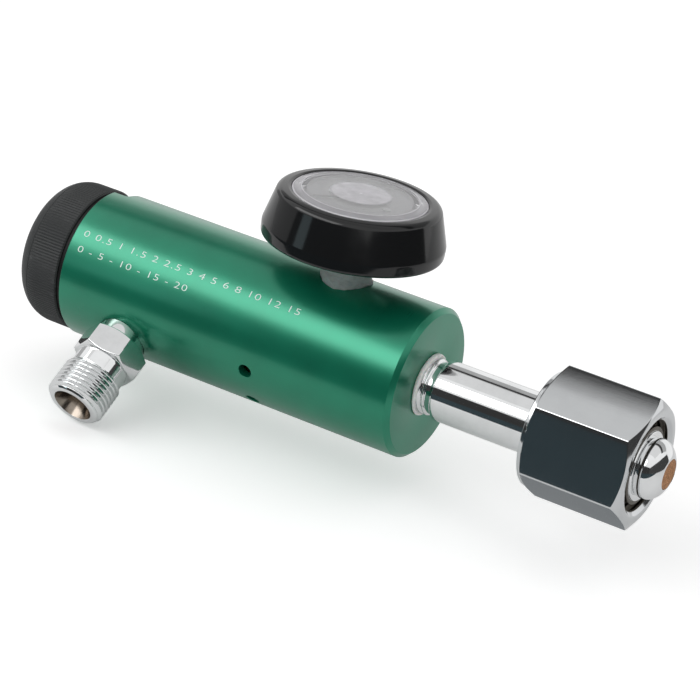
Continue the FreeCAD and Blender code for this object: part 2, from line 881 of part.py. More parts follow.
def make_flow_block():
    """Brass block that closes the cylinder, carries the outlet and seats the orifice disc."""
    body = turned_inside("block_blank", [
        ("spigot_start", "0"),
        ("spigot_start", "cylinder_width / 2 - running_gap"),
        ("core_end", "cylinder_width / 2 - running_gap"),
        ("core_end", "core_width / 2"),
        ("rim_end", "core_width / 2"),
        ("rim_end", "rim_width / 2"),
        ("block_end", "rim_width / 2"),
        ("block_end", "pilot_width / 2"),
        ("block_end - pilot_depth", "pilot_width / 2"),
        ("block_end - pilot_depth", "0"),
    ])
    wide = "core_width / 2 + %g" % MARGIN
    pocket_start = "block_end - port_pocket_depth"
    tools = [
        radial_bar("outlet_spot_face", "outlet_neck_width / 2 + hole_gap", "outlet_seat", wide,
                   "outlet_depth", "outlet_turn"),
        radial_bar("outlet_port", "outlet_shank_width / 2 + thread_gap", "outlet_shank_start - hole_gap",
                   wide, "outlet_depth", "outlet_turn"),
        axial_bar("low_pressure_hole", "port_width / 2", "block_end + 1", "spigot_start - 1",
                  "port_ring", "port_turn"),
        axial_bar("port_pocket", "port_pocket_width / 2", "block_end + 1", pocket_start,
                  "port_ring", "port_turn"),
        axial_bar("return_hole", "return_width / 2", "block_end + 1", "outlet_depth",
                  "return_ring", "outlet_turn"),
    ]
    finished("flow_block", without("block_cut", body, tools))


def make_port_seal():
    """Small plastic seal that a spring holds against the orifice disc."""
    seal_radius = "port_pocket_width / 2 - running_gap"
    seal_length = "port_pocket_depth / 2"
    outer = axial_bar("seal_outer", seal_radius, "disc_start", "disc_start - (%s)" % seal_length,
                      "port_ring", "port_turn")
    hole = axial_bar("seal_hole", "port_width / 2", "disc_start + 1", "block_end - port_pocket_depth",
                     "port_ring", "port_turn")
    finished("port_seal", without("seal_cut", outer, [hole]))
    spring = coil("seal_spring", "detent_wire", "port_pocket_width - 2 * detent_wire", "port_spring_turns",
                  "disc_start - (%s)" % seal_length, "block_end - port_pocket_depth",
                  "port_ring", "port_turn")
    finished("port_seal_spring", spring)


def flats(name, rear, front):
    """Two side blocks that leave a bar with the spindle's flats between them."""
    sides = []
    for side in (-1, 1):
        start = "spindle_flats / 2" if side > 0 else "-spindle_flats / 2 - spindle_width"
        sides.append(block(
            "%s_side_%d" % (name, side + 1), "%s - (%s)" % (rear, front), "spindle_width",
            "2 * spindle_width", x=behind(rear), y=start, z="-spindle_width",
        ))
    return sides


def make_orifice_disc():
    """Selector disc: a shut place and a ring of holes that grow from one flow to the next."""
    blank = axial_bar("disc_blank", "disc_width / 2", "disc_end", "disc_start")
    bore = axial_bar("disc_bore", "spindle_width / 2 + running_gap", "disc_end + 1", "disc_start - 1")
    key = without("disc_key", bore, flats("disc_flats", "disc_end + 1", "disc_start - 1"))
    holes = [key]
    for index in range(1, int(size("detent_count"))):
        width = "(smallest_orifice + %d * orifice_step)" % index
        turn = "port_turn + %d * 360 / detent_count" % index
        holes.append(axial_bar("flow_hole_%d" % index, width + " / 2", "disc_end + 1", "disc_start - 1",
                               "port_ring", turn))
    finished("orifice_disc", without("disc_cut", blank, holes))


def make_selector_cover():
    """Brass cover behind the disc: spindle bearing, seal grooves and the detent's pocket."""
    bore = "spindle_width / 2 + running_gap"
    groove = bore + " + spindle_seal_section + seal_gap"
    groove_end = "spindle_groove_start + spindle_seal_section + 2 * seal_gap"
    ring_in = "cover_seal_ring / 2 - cover_seal_section / 2 - seal_gap"
    ring_out = "cover_seal_ring / 2 + cover_seal_section / 2 + seal_gap"
    ring_floor = "cover_start + cover_seal_section + seal_gap"
    body = turned_inside("cover_blank", [
        ("cover_start", bore),
        ("cover_start", ring_in),
        (ring_floor, ring_in),
        (ring_floor, ring_out),
        ("cover_start", ring_out),
        ("cover_start", "core_width / 2"),
        ("cover_step", "core_width / 2"),
        ("cover_step", "cover_hub_width / 2"),
        ("cover_end", "cover_hub_width / 2"),
        ("cover_end", bore),
        (groove_end, bore),
        (groove_end, groove),
        ("spindle_groove_start", groove),
        ("spindle_groove_start", bore),
    ])
    pocket = axial_bar("detent_pocket", "detent_ball_width / 2 + detent_gap", "cover_end + 1",
                       "pocket_floor", "detent_ring", "detent_turn")
    finished("selector_cover", without("cover_cut", body, [pocket]))
    rest = behind("cover_start + cover_seal_section / 2 + seal_gap / 2")
    ring = o_ring("cover_ring", "cover_seal_ring / 2", "cover_seal_section", x=rest, axis=Y_AXIS, turn="90")
    finished("cover_seal", ring)
    spindle_ring = "spindle_width / 2 + running_gap + spindle_seal_section / 2"
    spindle_place = behind("spindle_groove_start + spindle_seal_section / 2 + seal_gap")
    seal = o_ring("spindle_ring", spindle_ring, "spindle_seal_section", x=spindle_place,
                  axis=Y_AXIS, turn="90")
    finished("spindle_seal", seal)


def make_retaining_ring():
    """Open spring ring that holds the cover in the sleeve."""
    body = turned_inside("ring_blank", [
        ("cover_step", "ring_inner"),
        ("cover_step", "ring_outer"),
        ("ring_end", "ring_outer"),
        ("ring_end", "ring_inner"),
    ])
    half = "ring_outer * sin(ring_opening / 2)"
    opening = block("ring_opening_block", "ring_length + 2", "2 * " + half, "2 * (ring_outer)",
                    x=behind("ring_end + 1"), y="-" + half)
    finished("cover_retaining_ring", without("ring_cut", body, [opening]))


def make_spindle():
    """Steel spindle: pilot, flats that drive the disc, bearing and a threaded top for the knob."""
    full = "spindle_width / 2"
    pilot_start = "block_end - pilot_depth + hole_gap"
    thread_floor = "screw_seat - screw_length - hole_gap"
    body = turned_inside("spindle_blank", [
        (pilot_start, "0"),
        (pilot_start, "pilot_width / 2 - running_gap"),
        ("block_end + running_gap", "pilot_width / 2 - running_gap"),
        ("block_end + running_gap", full),
        ("spindle_step", full),
        ("spindle_step", "spindle_top_width / 2"),
        ("spindle_end", "spindle_top_width / 2"),
        ("spindle_end", "screw_width / 2 + thread_gap"),
        (thread_floor, "screw_width / 2 + thread_gap"),
        (thread_floor, "0"),
    ])
    drive_flats = flats("spindle_flat", "disc_end + running_gap", "block_end - running_gap")
    finished("selector_spindle", without("spindle_cut", body, drive_flats))


def make_detent():
    """Ball and spring that click into the knob's dimples."""
    ball = doc.addObject("Part::Sphere", "detent_sphere")
    drive(ball, "Radius", "detent_ball_width / 2")
    lay(ball, x=behind("ball_centre"), y="-detent_ring * sin(detent_turn)",
        z="detent_ring * cos(detent_turn)")
    finished("detent_ball", ball)
    spring = coil("ball_spring", "detent_wire", "detent_spring_width", "detent_spring_turns",
                  "ball_centre - detent_ball_width / 2", "pocket_floor", "detent_ring", "detent_turn")
    finished("detent_spring", spring)


def make_knob():
    """Moulded knob: the scale skirt that runs in the sleeve, a web with dimples and a round back."""
    hub = "spindle_top_width / 2 + running_gap"
    knob = "knob_width / 2"
    hub_end = "spindle_end + hole_gap"
    body = turned_inside("knob_blank", [
        ("web_start", hub),
        ("web_start", "drum_inner"),
        ("drum_start", "drum_inner"),
        ("drum_start", "drum_outer"),
        ("knob_start", "drum_outer"),
        ("knob_start", knob),
        ("knob_end", knob),
        ("knob_end", "screw_recess_width / 2"),
        ("screw_seat", "screw_recess_width / 2"),
        ("screw_seat", "screw_hole_width / 2"),
        (hub_end, "screw_hole_width / 2"),
        (hub_end, hub),
    ])
    eased(body, "Fillet", "knob_round", [("-knob_end", knob)])
    eased(body, "Chamfer", "knob_front_chamfer", [("-knob_start", knob)])
    dimples = []
    for index in range(int(size("detent_count"))):
        turn = "detent_turn + %d * 360 / detent_count" % index
        dimple = doc.addObject("Part::Sphere", "dimple_%d" % index)
        drive(dimple, "Radius", "dimple_width / 2")
        lay(dimple, x=behind("dimple_centre"), y="-detent_ring * sin(%s)" % turn,
            z="detent_ring * cos(%s)" % turn)
        dimples.append(dimple)
    finished("flow_knob", without("knob_cut", body, dimples))


def make_knob_screw():
    """Socket screw that holds the knob on the spindle."""
    body = turned_inside("screw_blank", [
        ("screw_seat - screw_length", "0"),
        ("screw_seat - screw_length", "screw_width / 2"),
        ("screw_seat", "screw_width / 2"),
        ("screw_seat", "screw_head_width / 2"),
        ("screw_seat + screw_head_length", "screw_head_width / 2"),
        ("screw_seat + screw_head_length", "0"),
    ])
    socket = hexagon("screw_socket_bar", "screw_socket", "0", "screw_socket_depth + 1", "0")
    lay(socket, x=behind("screw_seat + screw_head_length + 1"), axis=Y_AXIS, turn="90")
    finished("knob_screw", without("screw_cut", body, [socket]))


def on_gauge(thing, **place):
    """Lay an upright piece on the gauge's axis."""
    return lay(thing, x=behind("gauge_depth"), **place)


def make_gauge_boot():
    """Soft black cover round the gauge, widest near its foot, with a lip that turns in over the lens."""
    inner = "case_width / 2 + case_gap"
    foot = ("boot_bottom", "boot_foot_width / 2")
    waist = ("boot_width_height", "boot_width / 2")
    shoulder = ("boot_shoulder", "boot_shoulder_width / 2")
    boot = turned("boot_blank", [
        ("boot_bottom", "boot_opening / 2"),
        foot,
        waist,
        shoulder,
        ("boot_top", "boot_lip_width / 2"),
        ("lens_edge", "boot_mouth_width / 2"),
        ("lens_flange_top + case_gap", "boot_mouth_width / 2"),
        ("lens_flange_top + case_gap", inner),
        ("boot_bottom + boot_floor", inner),
        ("boot_bottom + boot_floor", "boot_opening / 2"),
    ], upright=True)
    eased(boot, "Fillet", "boot_foot_round", [foot], upright=True)
    eased(boot, "Fillet", "boot_waist_round", [waist], upright=True)
    eased(boot, "Fillet", "boot_shoulder_round", [shoulder], upright=True)
    finished("gauge_boot", on_gauge(boot))


def make_gauge_case():
    """Pressed steel cup of the gauge."""
    outer = "case_width / 2"
    hole = "gauge_stem_width / 2 + running_gap"
    case = turned("case_blank", [
        ("case_bottom", hole),
        ("case_bottom", outer),
        ("case_rim", outer),
        ("case_rim", outer + " - case_wall"),
        ("case_inside", outer + " - case_wall"),
        ("case_inside", hole),
    ], upright=True)
    finished("gauge_case", on_gauge(case))


def make_gauge_lens():
    """Clear lens with a flange under the boot's lip and a bevel up to its flat top."""
    edge = "lens_edge_width / 2"
    flat = "lens_flat_width / 2"
    lens = turned("lens_blank", [
        ("lens_top", "0"),
        ("lens_top", flat),
        ("lens_edge", edge),
        ("lens_flange_top", edge),
        ("lens_flange_top", "lens_flange"),
        ("case_rim", "lens_flange"),
        ("case_rim", edge + " - lens_thickness"),
        ("lens_edge - lens_thickness", edge + " - lens_thickness"),
        ("lens_top - lens_thickness", flat + " - lens_thickness"),
        ("lens_top - lens_thickness", "0"),
    ], upright=True)
    finished("gauge_lens", on_gauge(lens))


def make_gauge_dial():
    """Flat dial plate and the two screws that hold it to the movement."""
    dial = turned("dial_blank", [
        ("dial_bottom", "dial_hole_width / 2"),
        ("dial_bottom", "dial_width / 2"),
        ("dial_top", "dial_width / 2"),
        ("dial_top", "dial_hole_width / 2"),
    ], upright=True)
    on_gauge(dial)
    holes = []
    screws = []
    for side in (-1, 1):
        place = {"x": behind("gauge_depth - %d * dial_screw_ring" % side)}
        holes.append(round_bar("dial_screw_hole_%d" % (side + 1), "dial_screw_shank / 2 + running_gap",
                               "dial_thickness + 2", z="dial_bottom - 1", **place))
        shank = round_bar("dial_shank_%d" % (side + 1), "dial_screw_shank / 2",
                          "dial_top - (upper_plate + plate_thickness)",
                          z="upper_plate + plate_thickness", **place)
        head = round_bar("dial_head_%d" % (side + 1), "dial_screw_head / 2", "dial_screw_head_length",
                         z="dial_top", **place)
        screws.append(joined("dial_screw_%d" % (side + 1), [shank, head]))
    finished("gauge_dial", without("dial_cut", dial, holes))
    doc.recompute()
    finished("gauge_dial_screws", fixed_shape("dial_screw_pair", Part.Compound([s.Shape for s in screws])))


def make_gauge_socket():
    """Brass socket: the stem that screws into the core and the block that feeds the coiled tube."""
    stem = round_bar("socket_stem", "gauge_stem_width / 2", "case_inside - gauge_stem_end",
                     x=behind("gauge_depth"), z="gauge_stem_end")
    lug = block("socket_lug", "socket_width", "socket_reach + socket_back",
                "socket_top - (case_inside)", x=behind("gauge_depth + socket_width / 2"),
                y="-socket_reach", z="case_inside")
    whole = joined("socket_whole", [stem, lug])
    bore = round_bar("socket_bore", "gauge_bore_width / 2", "bourdon_middle - gauge_stem_end + 1",
                     x=behind("gauge_depth"), z="gauge_stem_end - 1")
    feed = round_bar("socket_feed", "bourdon_feed_width / 2", "bourdon_ring",
                     x=behind("gauge_depth + bourdon_feed_aside"), z="bourdon_middle", turn="90")
    slot = ring_section("socket_slot", "-running_gap", "bourdon_arc + bourdon_slot_arc")
    finished("gauge_socket", without("socket_cut", whole, [bore, feed, on_gauge(slot)]))


def ring_section(name, inset, arc):
    """Turn the flattened tube's section, made smaller by an inset, through an arc."""
    inner = "bourdon_ring - bourdon_thickness / 2 + (%s)" % inset
    outer = "bourdon_ring + bourdon_thickness / 2 - (%s)" % inset
    bottom = "bourdon_bottom + (%s)" % inset
    top = "bourdon_bottom + bourdon_height - (%s)" % inset
    points = [(bottom, inner), (bottom, outer), (top, outer), (top, inner)]
    return turned(name, points, upright=True, angle=arc)


def make_bourdon_tube():
    """Flattened hollow tube bent to an open ring, soldered into the socket, with a pin on its tip."""
    tube = on_gauge(ring_section("bourdon_outside", "0", "bourdon_arc"))
    hollow = on_gauge(ring_section("bourdon_hollow", "bourdon_wall", "bourdon_arc"),
                      axis=Z_AXIS, turn="bourdon_tip_arc")
    tube_top = "bourdon_bottom + bourdon_height - bourdon_wall"
    pin = round_bar("bourdon_pin", "link_pin_width / 2", "link_bottom - link_open_gap - (%s)" % tube_top,
                    x="%s + bourdon_ring" % behind("gauge_depth"), y="link_width / 2", z=tube_top)
    finished("gauge_bourdon_tube", joined("bourdon_whole", [
        without("bourdon_cut", tube, [hollow]), pin,
    ]))


def pivot_spot():
    """Return the formulas of the sector's pivot in the gauge's own frame."""
    return "pivot_ring * cos(pivot_turn)", "pivot_ring * sin(pivot_turn)"


def make_movement_plates():
    """Two round brass plates that carry the arbor and the sector, and the pillars between them."""
    across, along = pivot_spot()
    for label, height in (("gauge_lower_plate", "lower_plate"), ("gauge_upper_plate", "upper_plate")):
        disc = round_bar(label + "_disc", "plate_width / 2", "plate_thickness",
                         x=behind("gauge_depth"), z=height)
        holes = [
            round_bar(label + "_arbor_hole", "arbor_width / 2 + running_gap", "3 * plate_thickness",
                      x=behind("gauge_depth"), z="%s - plate_thickness" % height),
            round_bar(label + "_pivot_hole", "pivot_width / 2 + running_gap", "3 * plate_thickness",
                      x="%s + %s" % (behind("gauge_depth"), across), y=along,
                      z="%s - plate_thickness" % height),
        ]
        finished(label, without(label + "_cut", disc, holes))
    posts = []
    spots = (("pillar_a_forward", "pillar_a_aside"), ("pillar_b_forward", "pillar_b_aside"),
             ("pillar_c_forward", "pillar_c_aside"))
    for index, (forward, aside) in enumerate(spots):
        posts.append(round_bar("pillar_%d" % index, "pillar_width / 2", "upper_plate - (lower_plate_top)",
                               x="%s + %s" % (behind("gauge_depth"), forward), y=aside, z="lower_plate_top"))
    doc.recompute()
    finished("gauge_pillars", fixed_shape("pillar_set", Part.Compound([post.Shape for post in posts])))


def gear_outline(teeth, first, last, circle_teeth, turn):
    """Return points round the teeth of a small gear, tooth by tooth, as flanks of three points."""
    module = size("gear_module")
    pitch = module * circle_teeth / 2
    # each row is a radius and the half angle of the tooth there, in parts of the tooth pitch
    flank = ((pitch - 1.15 * module, 0.33), (pitch, 0.235), (pitch + 0.9 * module, 0.10))
    step = 360.0 / circle_teeth
    points = []
    for tooth in range(first, last):
        centre = turn + tooth * step
        rows = [(radius, centre - share * step) for radius, share in flank]
        rows += [(radius, centre + share * step) for radius, share in reversed(flank)]
        for radius, angle in rows:
            spread = math.radians(angle)
            points.append(V(radius * math.cos(spread), radius * math.sin(spread), 0))
    return points


def raised(points, thickness):
    """Raise a closed outline of points into a solid."""
    face = Part.Face(Part.makePolygon(points + [points[0]]))
    return face.extrude(V(0, 0, thickness))


def gauge_place(across=0.0, along=0.0, height=0.0):
    """Return the placement of a piece from its spot in the gauge's own frame."""
    return FreeCAD.Placement(V(size(behind("gauge_depth")) + across, along, height), FreeCAD.Rotation())


def make_arbor():
    """Steel arbor with its pinion, which carries the pointer."""
    teeth = int(size("pinion_teeth"))
    gap_turn = size("pivot_turn") + 180.0 / teeth
    pinion = raised(gear_outline(teeth, 0, teeth, teeth, gap_turn), size("pinion_height"))
    pinion.translate(V(0, 0, size("pinion_bottom")))
    top = size("pointer_bottom + pointer_thickness")
    bottom = size("arbor_bottom")
    shaft = Part.makeCylinder(size("arbor_width") / 2, top - bottom, V(0, 0, bottom))
    finished("gauge_arbor", fixed_shape("arbor_whole", pinion.fuse(shaft).removeSplitter(), gauge_place()))


def make_sector():
    """Toothed sector that turns the pinion, with its pivot pins and a tail for the link."""
    circle_teeth = int(size("sector_circle_teeth"))
    inward = size("pivot_turn") + 180.0
    outline = gear_outline(circle_teeth, 2 - int(size("sector_teeth")), 2, circle_teeth, inward)
    outline.append(V(0, 0, 0))
    thickness = size("sector_thickness")
    hub = Part.makeCylinder(size("sector_hub_width") / 2, thickness)
    tail_turn = size("tail_turn")
    reach = size("tail_reach")
    arm = Part.makeBox(reach, size("link_width"), thickness, V(0, -size("link_width") / 2, 0))
    eye = Part.makeCylinder(size("link_eye_width") / 2, thickness, V(reach, 0, 0))
    pin_length = size("sector_bottom - link_bottom")
    pin = Part.makeCylinder(size("link_pin_width") / 2, pin_length, V(reach, 0, -pin_length))
    tail = arm.fuse([eye, pin])
    tail.rotate(V(0, 0, 0), Z_AXIS, tail_turn)
    bottom = size("lower_plate + running_gap - sector_bottom")
    top = size("upper_plate + plate_thickness - running_gap - sector_bottom")
    pivot = Part.makeCylinder(size("pivot_width") / 2, top - bottom, V(0, 0, bottom))
    whole = raised(outline, thickness).fuse([hub, tail, pivot]).removeSplitter()
    across, along = (size(formula) for formula in pivot_spot())
    place = gauge_place(across, along, size("sector_bottom"))
    finished("gauge_sector", fixed_shape("sector_whole", whole, place))


def make_link():
    """Thin link between the sector's tail and the free end of the coiled tube."""
    across, along = (size(formula) for formula in pivot_spot())
    turn = math.radians(size("tail_turn"))
    start = V(across + size("tail_reach") * math.cos(turn), along + size("tail_reach") * math.sin(turn), 0)
    end = V(size("bourdon_ring"), size("link_width") / 2, 0)
    thickness = size("link_thickness")
    span = (end - start).Length
    hole = size("link_pin_width") / 2 + size("running_gap")
    bar = Part.makeBox(span, size("link_width"), thickness, V(0, -size("link_width") / 2, 0))
    eyes = [Part.makeCylinder(size("link_eye_width") / 2, thickness, V(spot, 0, 0)) for spot in (0, span)]
    holes = [Part.makeCylinder(hole, 3 * thickness, V(spot, 0, -thickness)) for spot in (0, span)]
    link = bar.fuse(eyes).cut(Part.makeCompound(holes)).removeSplitter()
    angle = math.degrees(math.atan2(end.y - start.y, end.x - start.x))
    place = gauge_place(start.x, start.y, size("link_bottom"))
    place.Rotation = FreeCAD.Rotation(Z_AXIS, angle)
    finished("gauge_link", fixed_shape("link_whole", link, place))


def make_pointer():
    """Tapered pointer with a round hub, at rest on the dial's first mark."""
    root = "pointer_root / 2"
    tip = "pointer_tip / 2"
    blade = plate("pointer_blade", [
        ("-pointer_tail", "-" + root),
        ("pointer_reach", "-" + tip),
        ("pointer_reach", tip),
        ("-pointer_tail", root),
    ], "0", "pointer_thickness")
    hub = round_bar("pointer_hub", "pointer_hub_width / 2", "pointer_thickness")
    bore = round_bar("pointer_bore", "arbor_width / 2 + thread_gap / 5", "3 * pointer_thickness",
                     z="-pointer_thickness")
    pointer = without("pointer_cut", joined("pointer_whole", [blade, hub]), [bore])
    on_gauge(pointer, z="pointer_bottom", axis=Z_AXIS, turn="pointer_turn")
    finished("gauge_pointer", pointer)


def check_document():
    """Stop with a plain message if a feature failed or a sub-part has no sound solid."""
    for thing in doc.Objects:
        bad = [word for word in thing.State if word in ("Invalid", "Error")]
        if bad:
            raise RuntimeError("%s is %s" % (thing.Name, ", ".join(bad)))
    for part in PARTS:
        if part.Shape.isNull() or not part.Shape.isValid() or not part.Shape.Solids:
            raise RuntimeError("%s has no sound solid" % part.Label)


def write_parts():
    """Write each sub-part to its own file and report its volume."""
    os.makedirs("parts", exist_ok=True)
    for part in PARTS:
        part.Shape.exportStep("parts/%s.step" % part.Label)
        print("%-22s %2d solid %10.2f mm3" % (part.Label, len(part.Shape.Solids), part.Shape.Volume))


fill_sheet()
make_shell()
make_core()
make_inlet_stem()
make_inlet_filter()
make_nut()
make_tapes()
make_outlet()
make_piston()
make_piston_seals()
make_flow_block()
make_port_seal()
make_orifice_disc()
make_selector_cover()
make_retaining_ring()
make_spindle()
make_detent()
make_knob()
make_knob_screw()
make_gauge_boot()
make_gauge_case()
make_gauge_lens()
make_gauge_dial()
make_gauge_socket()
make_bourdon_tube()
make_movement_plates()
make_arbor()
make_sector()
make_link()
make_pointer()
doc.recompute()
check_document()
write_parts()
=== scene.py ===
"""Looks of an oxygen regulator for a small cylinder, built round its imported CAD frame.

Sizes are written in millimetres and turned into metres where a mesh is made. Depths are
measured back from the sleeve's front face, and angles round the body go from +Y to +Z.
"""

import logging
import math
from dataclasses import dataclass
from enum import Enum
from typing import Callable, Optional, Sequence, Union

import bmesh
import bpy
import numpy as np
from mathutils import Euler, Matrix, Vector


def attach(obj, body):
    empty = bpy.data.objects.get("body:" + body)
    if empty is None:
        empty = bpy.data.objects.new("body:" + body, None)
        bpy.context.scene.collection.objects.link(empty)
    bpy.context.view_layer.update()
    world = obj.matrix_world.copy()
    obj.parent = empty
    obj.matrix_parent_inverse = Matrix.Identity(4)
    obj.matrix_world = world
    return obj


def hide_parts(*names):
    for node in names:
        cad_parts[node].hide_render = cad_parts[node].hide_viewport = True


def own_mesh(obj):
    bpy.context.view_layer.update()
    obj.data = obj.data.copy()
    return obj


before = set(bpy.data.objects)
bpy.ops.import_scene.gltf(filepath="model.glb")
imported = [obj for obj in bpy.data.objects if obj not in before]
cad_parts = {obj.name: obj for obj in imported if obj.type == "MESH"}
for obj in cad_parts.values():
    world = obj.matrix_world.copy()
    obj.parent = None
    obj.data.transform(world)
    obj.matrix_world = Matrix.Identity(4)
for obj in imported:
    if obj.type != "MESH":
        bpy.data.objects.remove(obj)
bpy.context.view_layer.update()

LOG = logging.getLogger("regulator")
MM = 0.001
TURN = 2 * math.pi
SEAT_REACH = 54.3
GAUGE_DEPTH = 24.6
OUTLET_DEPTH = 72.0
OUTLET_TURN = 124.15
SLEEVE_RADIUS = 17.75

Rgb = tuple[float, float, float]
Corner = tuple[float, float, float]
Point = tuple[float, float]
Placing = Callable[[float, float, float], Corner]
Size = Union[float, np.ndarray]

MERGE = 2.0e-7
SLIVER = 1.0e-7
LETTER_DEPTH = 0.02
LETTER_THINNING = -0.012


def behind(depth: float) -> float:
    """Return the place along the body of a depth behind the sleeve's front face.

    Args:
        depth: millimetres behind the front face.

    Returns:
        Millimetres along +X.
    """
    return -(SEAT_REACH + depth)


class Line(Enum):
    """The three lines that turned pieces are made round."""

    BODY = "along the body, towards the cylinder valve"
    GAUGE = "up through the gauge"
    OUTLET = "out through the outlet"

    @property
    def place(self) -> Matrix:
        """Say where the line runs.

        Returns:
            The matrix from a piece's own millimetres, its line along z, to the frame's.
        """
        if self is Line.BODY:
            return Matrix(((0, 0, 1, 0), (1, 0, 0, 0), (0, 1, 0, 0), (0, 0, 0, 1)))
        if self is Line.GAUGE:
            return Matrix.Translation((behind(GAUGE_DEPTH), 0, 0))
        tilt = Matrix.Rotation(math.radians(OUTLET_TURN), 4, "X")
        return Matrix.Translation((behind(OUTLET_DEPTH), 0, 0)) @ tilt


# ---------------------------------------------------------------- shader sums


class Wire:
    """An output socket that takes part in sums."""

    def __init__(self, recipe: "Recipe", socket: bpy.types.NodeSocket) -> None:
        """Keep the recipe that the socket belongs to."""
        self.recipe = recipe
        self.socket = socket

    def _sum(self, operation: str, left: "Term", right: "Term") -> "Wire":
        """Add the Math or Vector Math node of one operation.

        Args:
            operation: the node's own word for it.
            left: first term.
            right: second term.

        Returns:
            The node's result.
        """
        terms = (left, right)
        flat = all(
            term.socket.type == "VALUE" if isinstance(term, Wire) else not isinstance(term, tuple)
            for term in terms
        )
        kind = "ShaderNodeMath" if flat else "ShaderNodeVectorMath"
        if not flat:
            terms = (term if isinstance(term, (Wire, tuple)) else (term,) * 3 for term in terms)
        return self.recipe.node(kind, {"operation": operation}, dict(enumerate(terms)))

    def __add__(self, other: "Term") -> "Wire":
        """Return the sum."""
        return self._sum("ADD", self, other)

    __radd__ = __add__

    def __sub__(self, other: "Term") -> "Wire":
        """Return what is left."""
        return self._sum("SUBTRACT", self, other)

    def __rsub__(self, other: "Term") -> "Wire":
        """Return the other term less this one."""
        return self._sum("SUBTRACT", other, self)

    def __mul__(self, other: "Term") -> "Wire":
        """Return the product."""
        return self._sum("MULTIPLY", self, other)

    __rmul__ = __mul__

    def over(self, low: float, high: float) -> "Wire":
        """Return 0 below one value, 1 above another and a smooth rise between.

        Args:
            low: where the rise starts.
            high: where it ends.

        Returns:
            The mask.
        """
        return self.recipe.node(
            "ShaderNodeMapRange", {"interpolation_type": "SMOOTHSTEP"}, {0: self, 1: low, 2: high}
        )


Term = Union[Wire, float, tuple]


class Recipe:
    """A node tree with its main shader, and the one way to add a node to it."""

    def __init__(
        self, owner: Union[bpy.types.Material, bpy.types.World], shader: str, output: str
    ) -> None:
        """Empty the owner's tree and join a fresh shader to its output.

        Args:
            owner: the material or world.
            shader: type of its main shader.
            output: type of its output node.
        """
        owner.use_nodes = True
        self.tree = owner.node_tree
        self.tree.nodes.clear()
        self.end = self.tree.nodes.new(output)
        self.shader = self.tree.nodes.new(shader)
        self.tree.links.new(self.shader.outputs[0], self.end.inputs[0])

    def node(
        self,
        kind: str,
        settings: Optional[dict] = None,
        sockets: Optional[dict] = None,
        out: Union[int, str] = 0,
    ) -> Wire:
        """Add one node, with its settings first and then its sockets.

        Args:
            kind: the node's type.
            settings: its own properties; "stops" are a ramp's places and colours.
            sockets: values or wires by the socket's name or number.
            out: the name or number of the output that is wanted.

        Returns:
            That output.
        """
        made = self.tree.nodes.new(kind)
        for name, value in (settings or {}).items():
            if name == "stops":
                ramp = made.color_ramp.elements
                while len(ramp) < len(value):
                    ramp.new(1.0)
                for stop, (spot, colour) in zip(ramp, value):
                    stop.position, stop.color = spot, (*colour, 1.0)
            else:
                setattr(made, name, value)
        for name, value in (sockets or {}).items():
            self.feed(made.inputs[name], value)
        return Wire(self, made.outputs[out])

    def feed(self, socket: bpy.types.NodeSocket, value: Term) -> None:
        """Link a wire to a socket, or set the socket's own value.

        Args:
            socket: where it goes.
            value: a wire, a number or a tuple.
        """
        if isinstance(value, Wire):
            self.tree.links.new(value.socket, socket)
        elif isinstance(value, tuple) and socket.type == "RGBA":
            socket.default_value = (*value, 1.0)
        else:
            socket.default_value = value

    def set(self, **values: Term) -> None:
        """Feed the main shader's sockets, named with _ for a space."""
        for name, value in values.items():
            self.feed(self.shader.inputs[name.replace("_", " ")], value)

    def spot(self) -> Wire:
        """Return the place on the surface, in metres of the frame."""
        return self.node("ShaderNodeTexCoord", out="Object")

    def noise(self, place: Wire, scale: float, detail: float = 3.0, rough: float = 0.55) -> Wire:
        """Return cloudy noise between 0 and 1 at a place."""
        sockets = {"Vector": place, "Scale": scale, "Detail": detail, "Roughness": rough}
        return self.node("ShaderNodeTexNoise", {}, sockets)

    def cells(self, place: Wire, scale: float) -> Wire:
        """Return the distance to the nearest of scattered points."""
        return self.node("ShaderNodeTexVoronoi", {}, {"Vector": place, "Scale": scale})

    def axis(self, vector: Wire, name: str) -> Wire:
        """Return one part of a vector: X, Y or Z."""
        return self.node("ShaderNodeSeparateXYZ", {}, {0: vector}, out=name)

    def from_gauge(self) -> Wire:
        """Return the distance from the gauge's line, in metres."""
        flat = (self.spot() - (behind(GAUGE_DEPTH) * MM, 0.0, 0.0)) * (1.0, 1.0, 0.0)
        return self.node("ShaderNodeVectorMath", {"operation": "LENGTH"}, {0: flat}, out="Value")

    def blend(self, share: Term, low: Term, high: Term) -> Wire:
        """Return a colour between two colours."""
        return self.node("ShaderNodeMix", {"data_type": "RGBA"}, {0: share, 6: low, 7: high}, out=2)

    def relief(self, height: Wire, depth: float, strength: float = 1.0) -> Wire:
        """Return the normal of a bumpy surface.

        Args:
            height: the bumps, 0 to 1.
            depth: metres between the lowest and the highest.
            strength: how much of it shows.

        Returns:
            The bent normal.
        """
        return self.node(
            "ShaderNodeBump", {}, {"Strength": strength, "Distance": depth, "Height": height}
        )


# ---------------------------------------------------------------- finishes


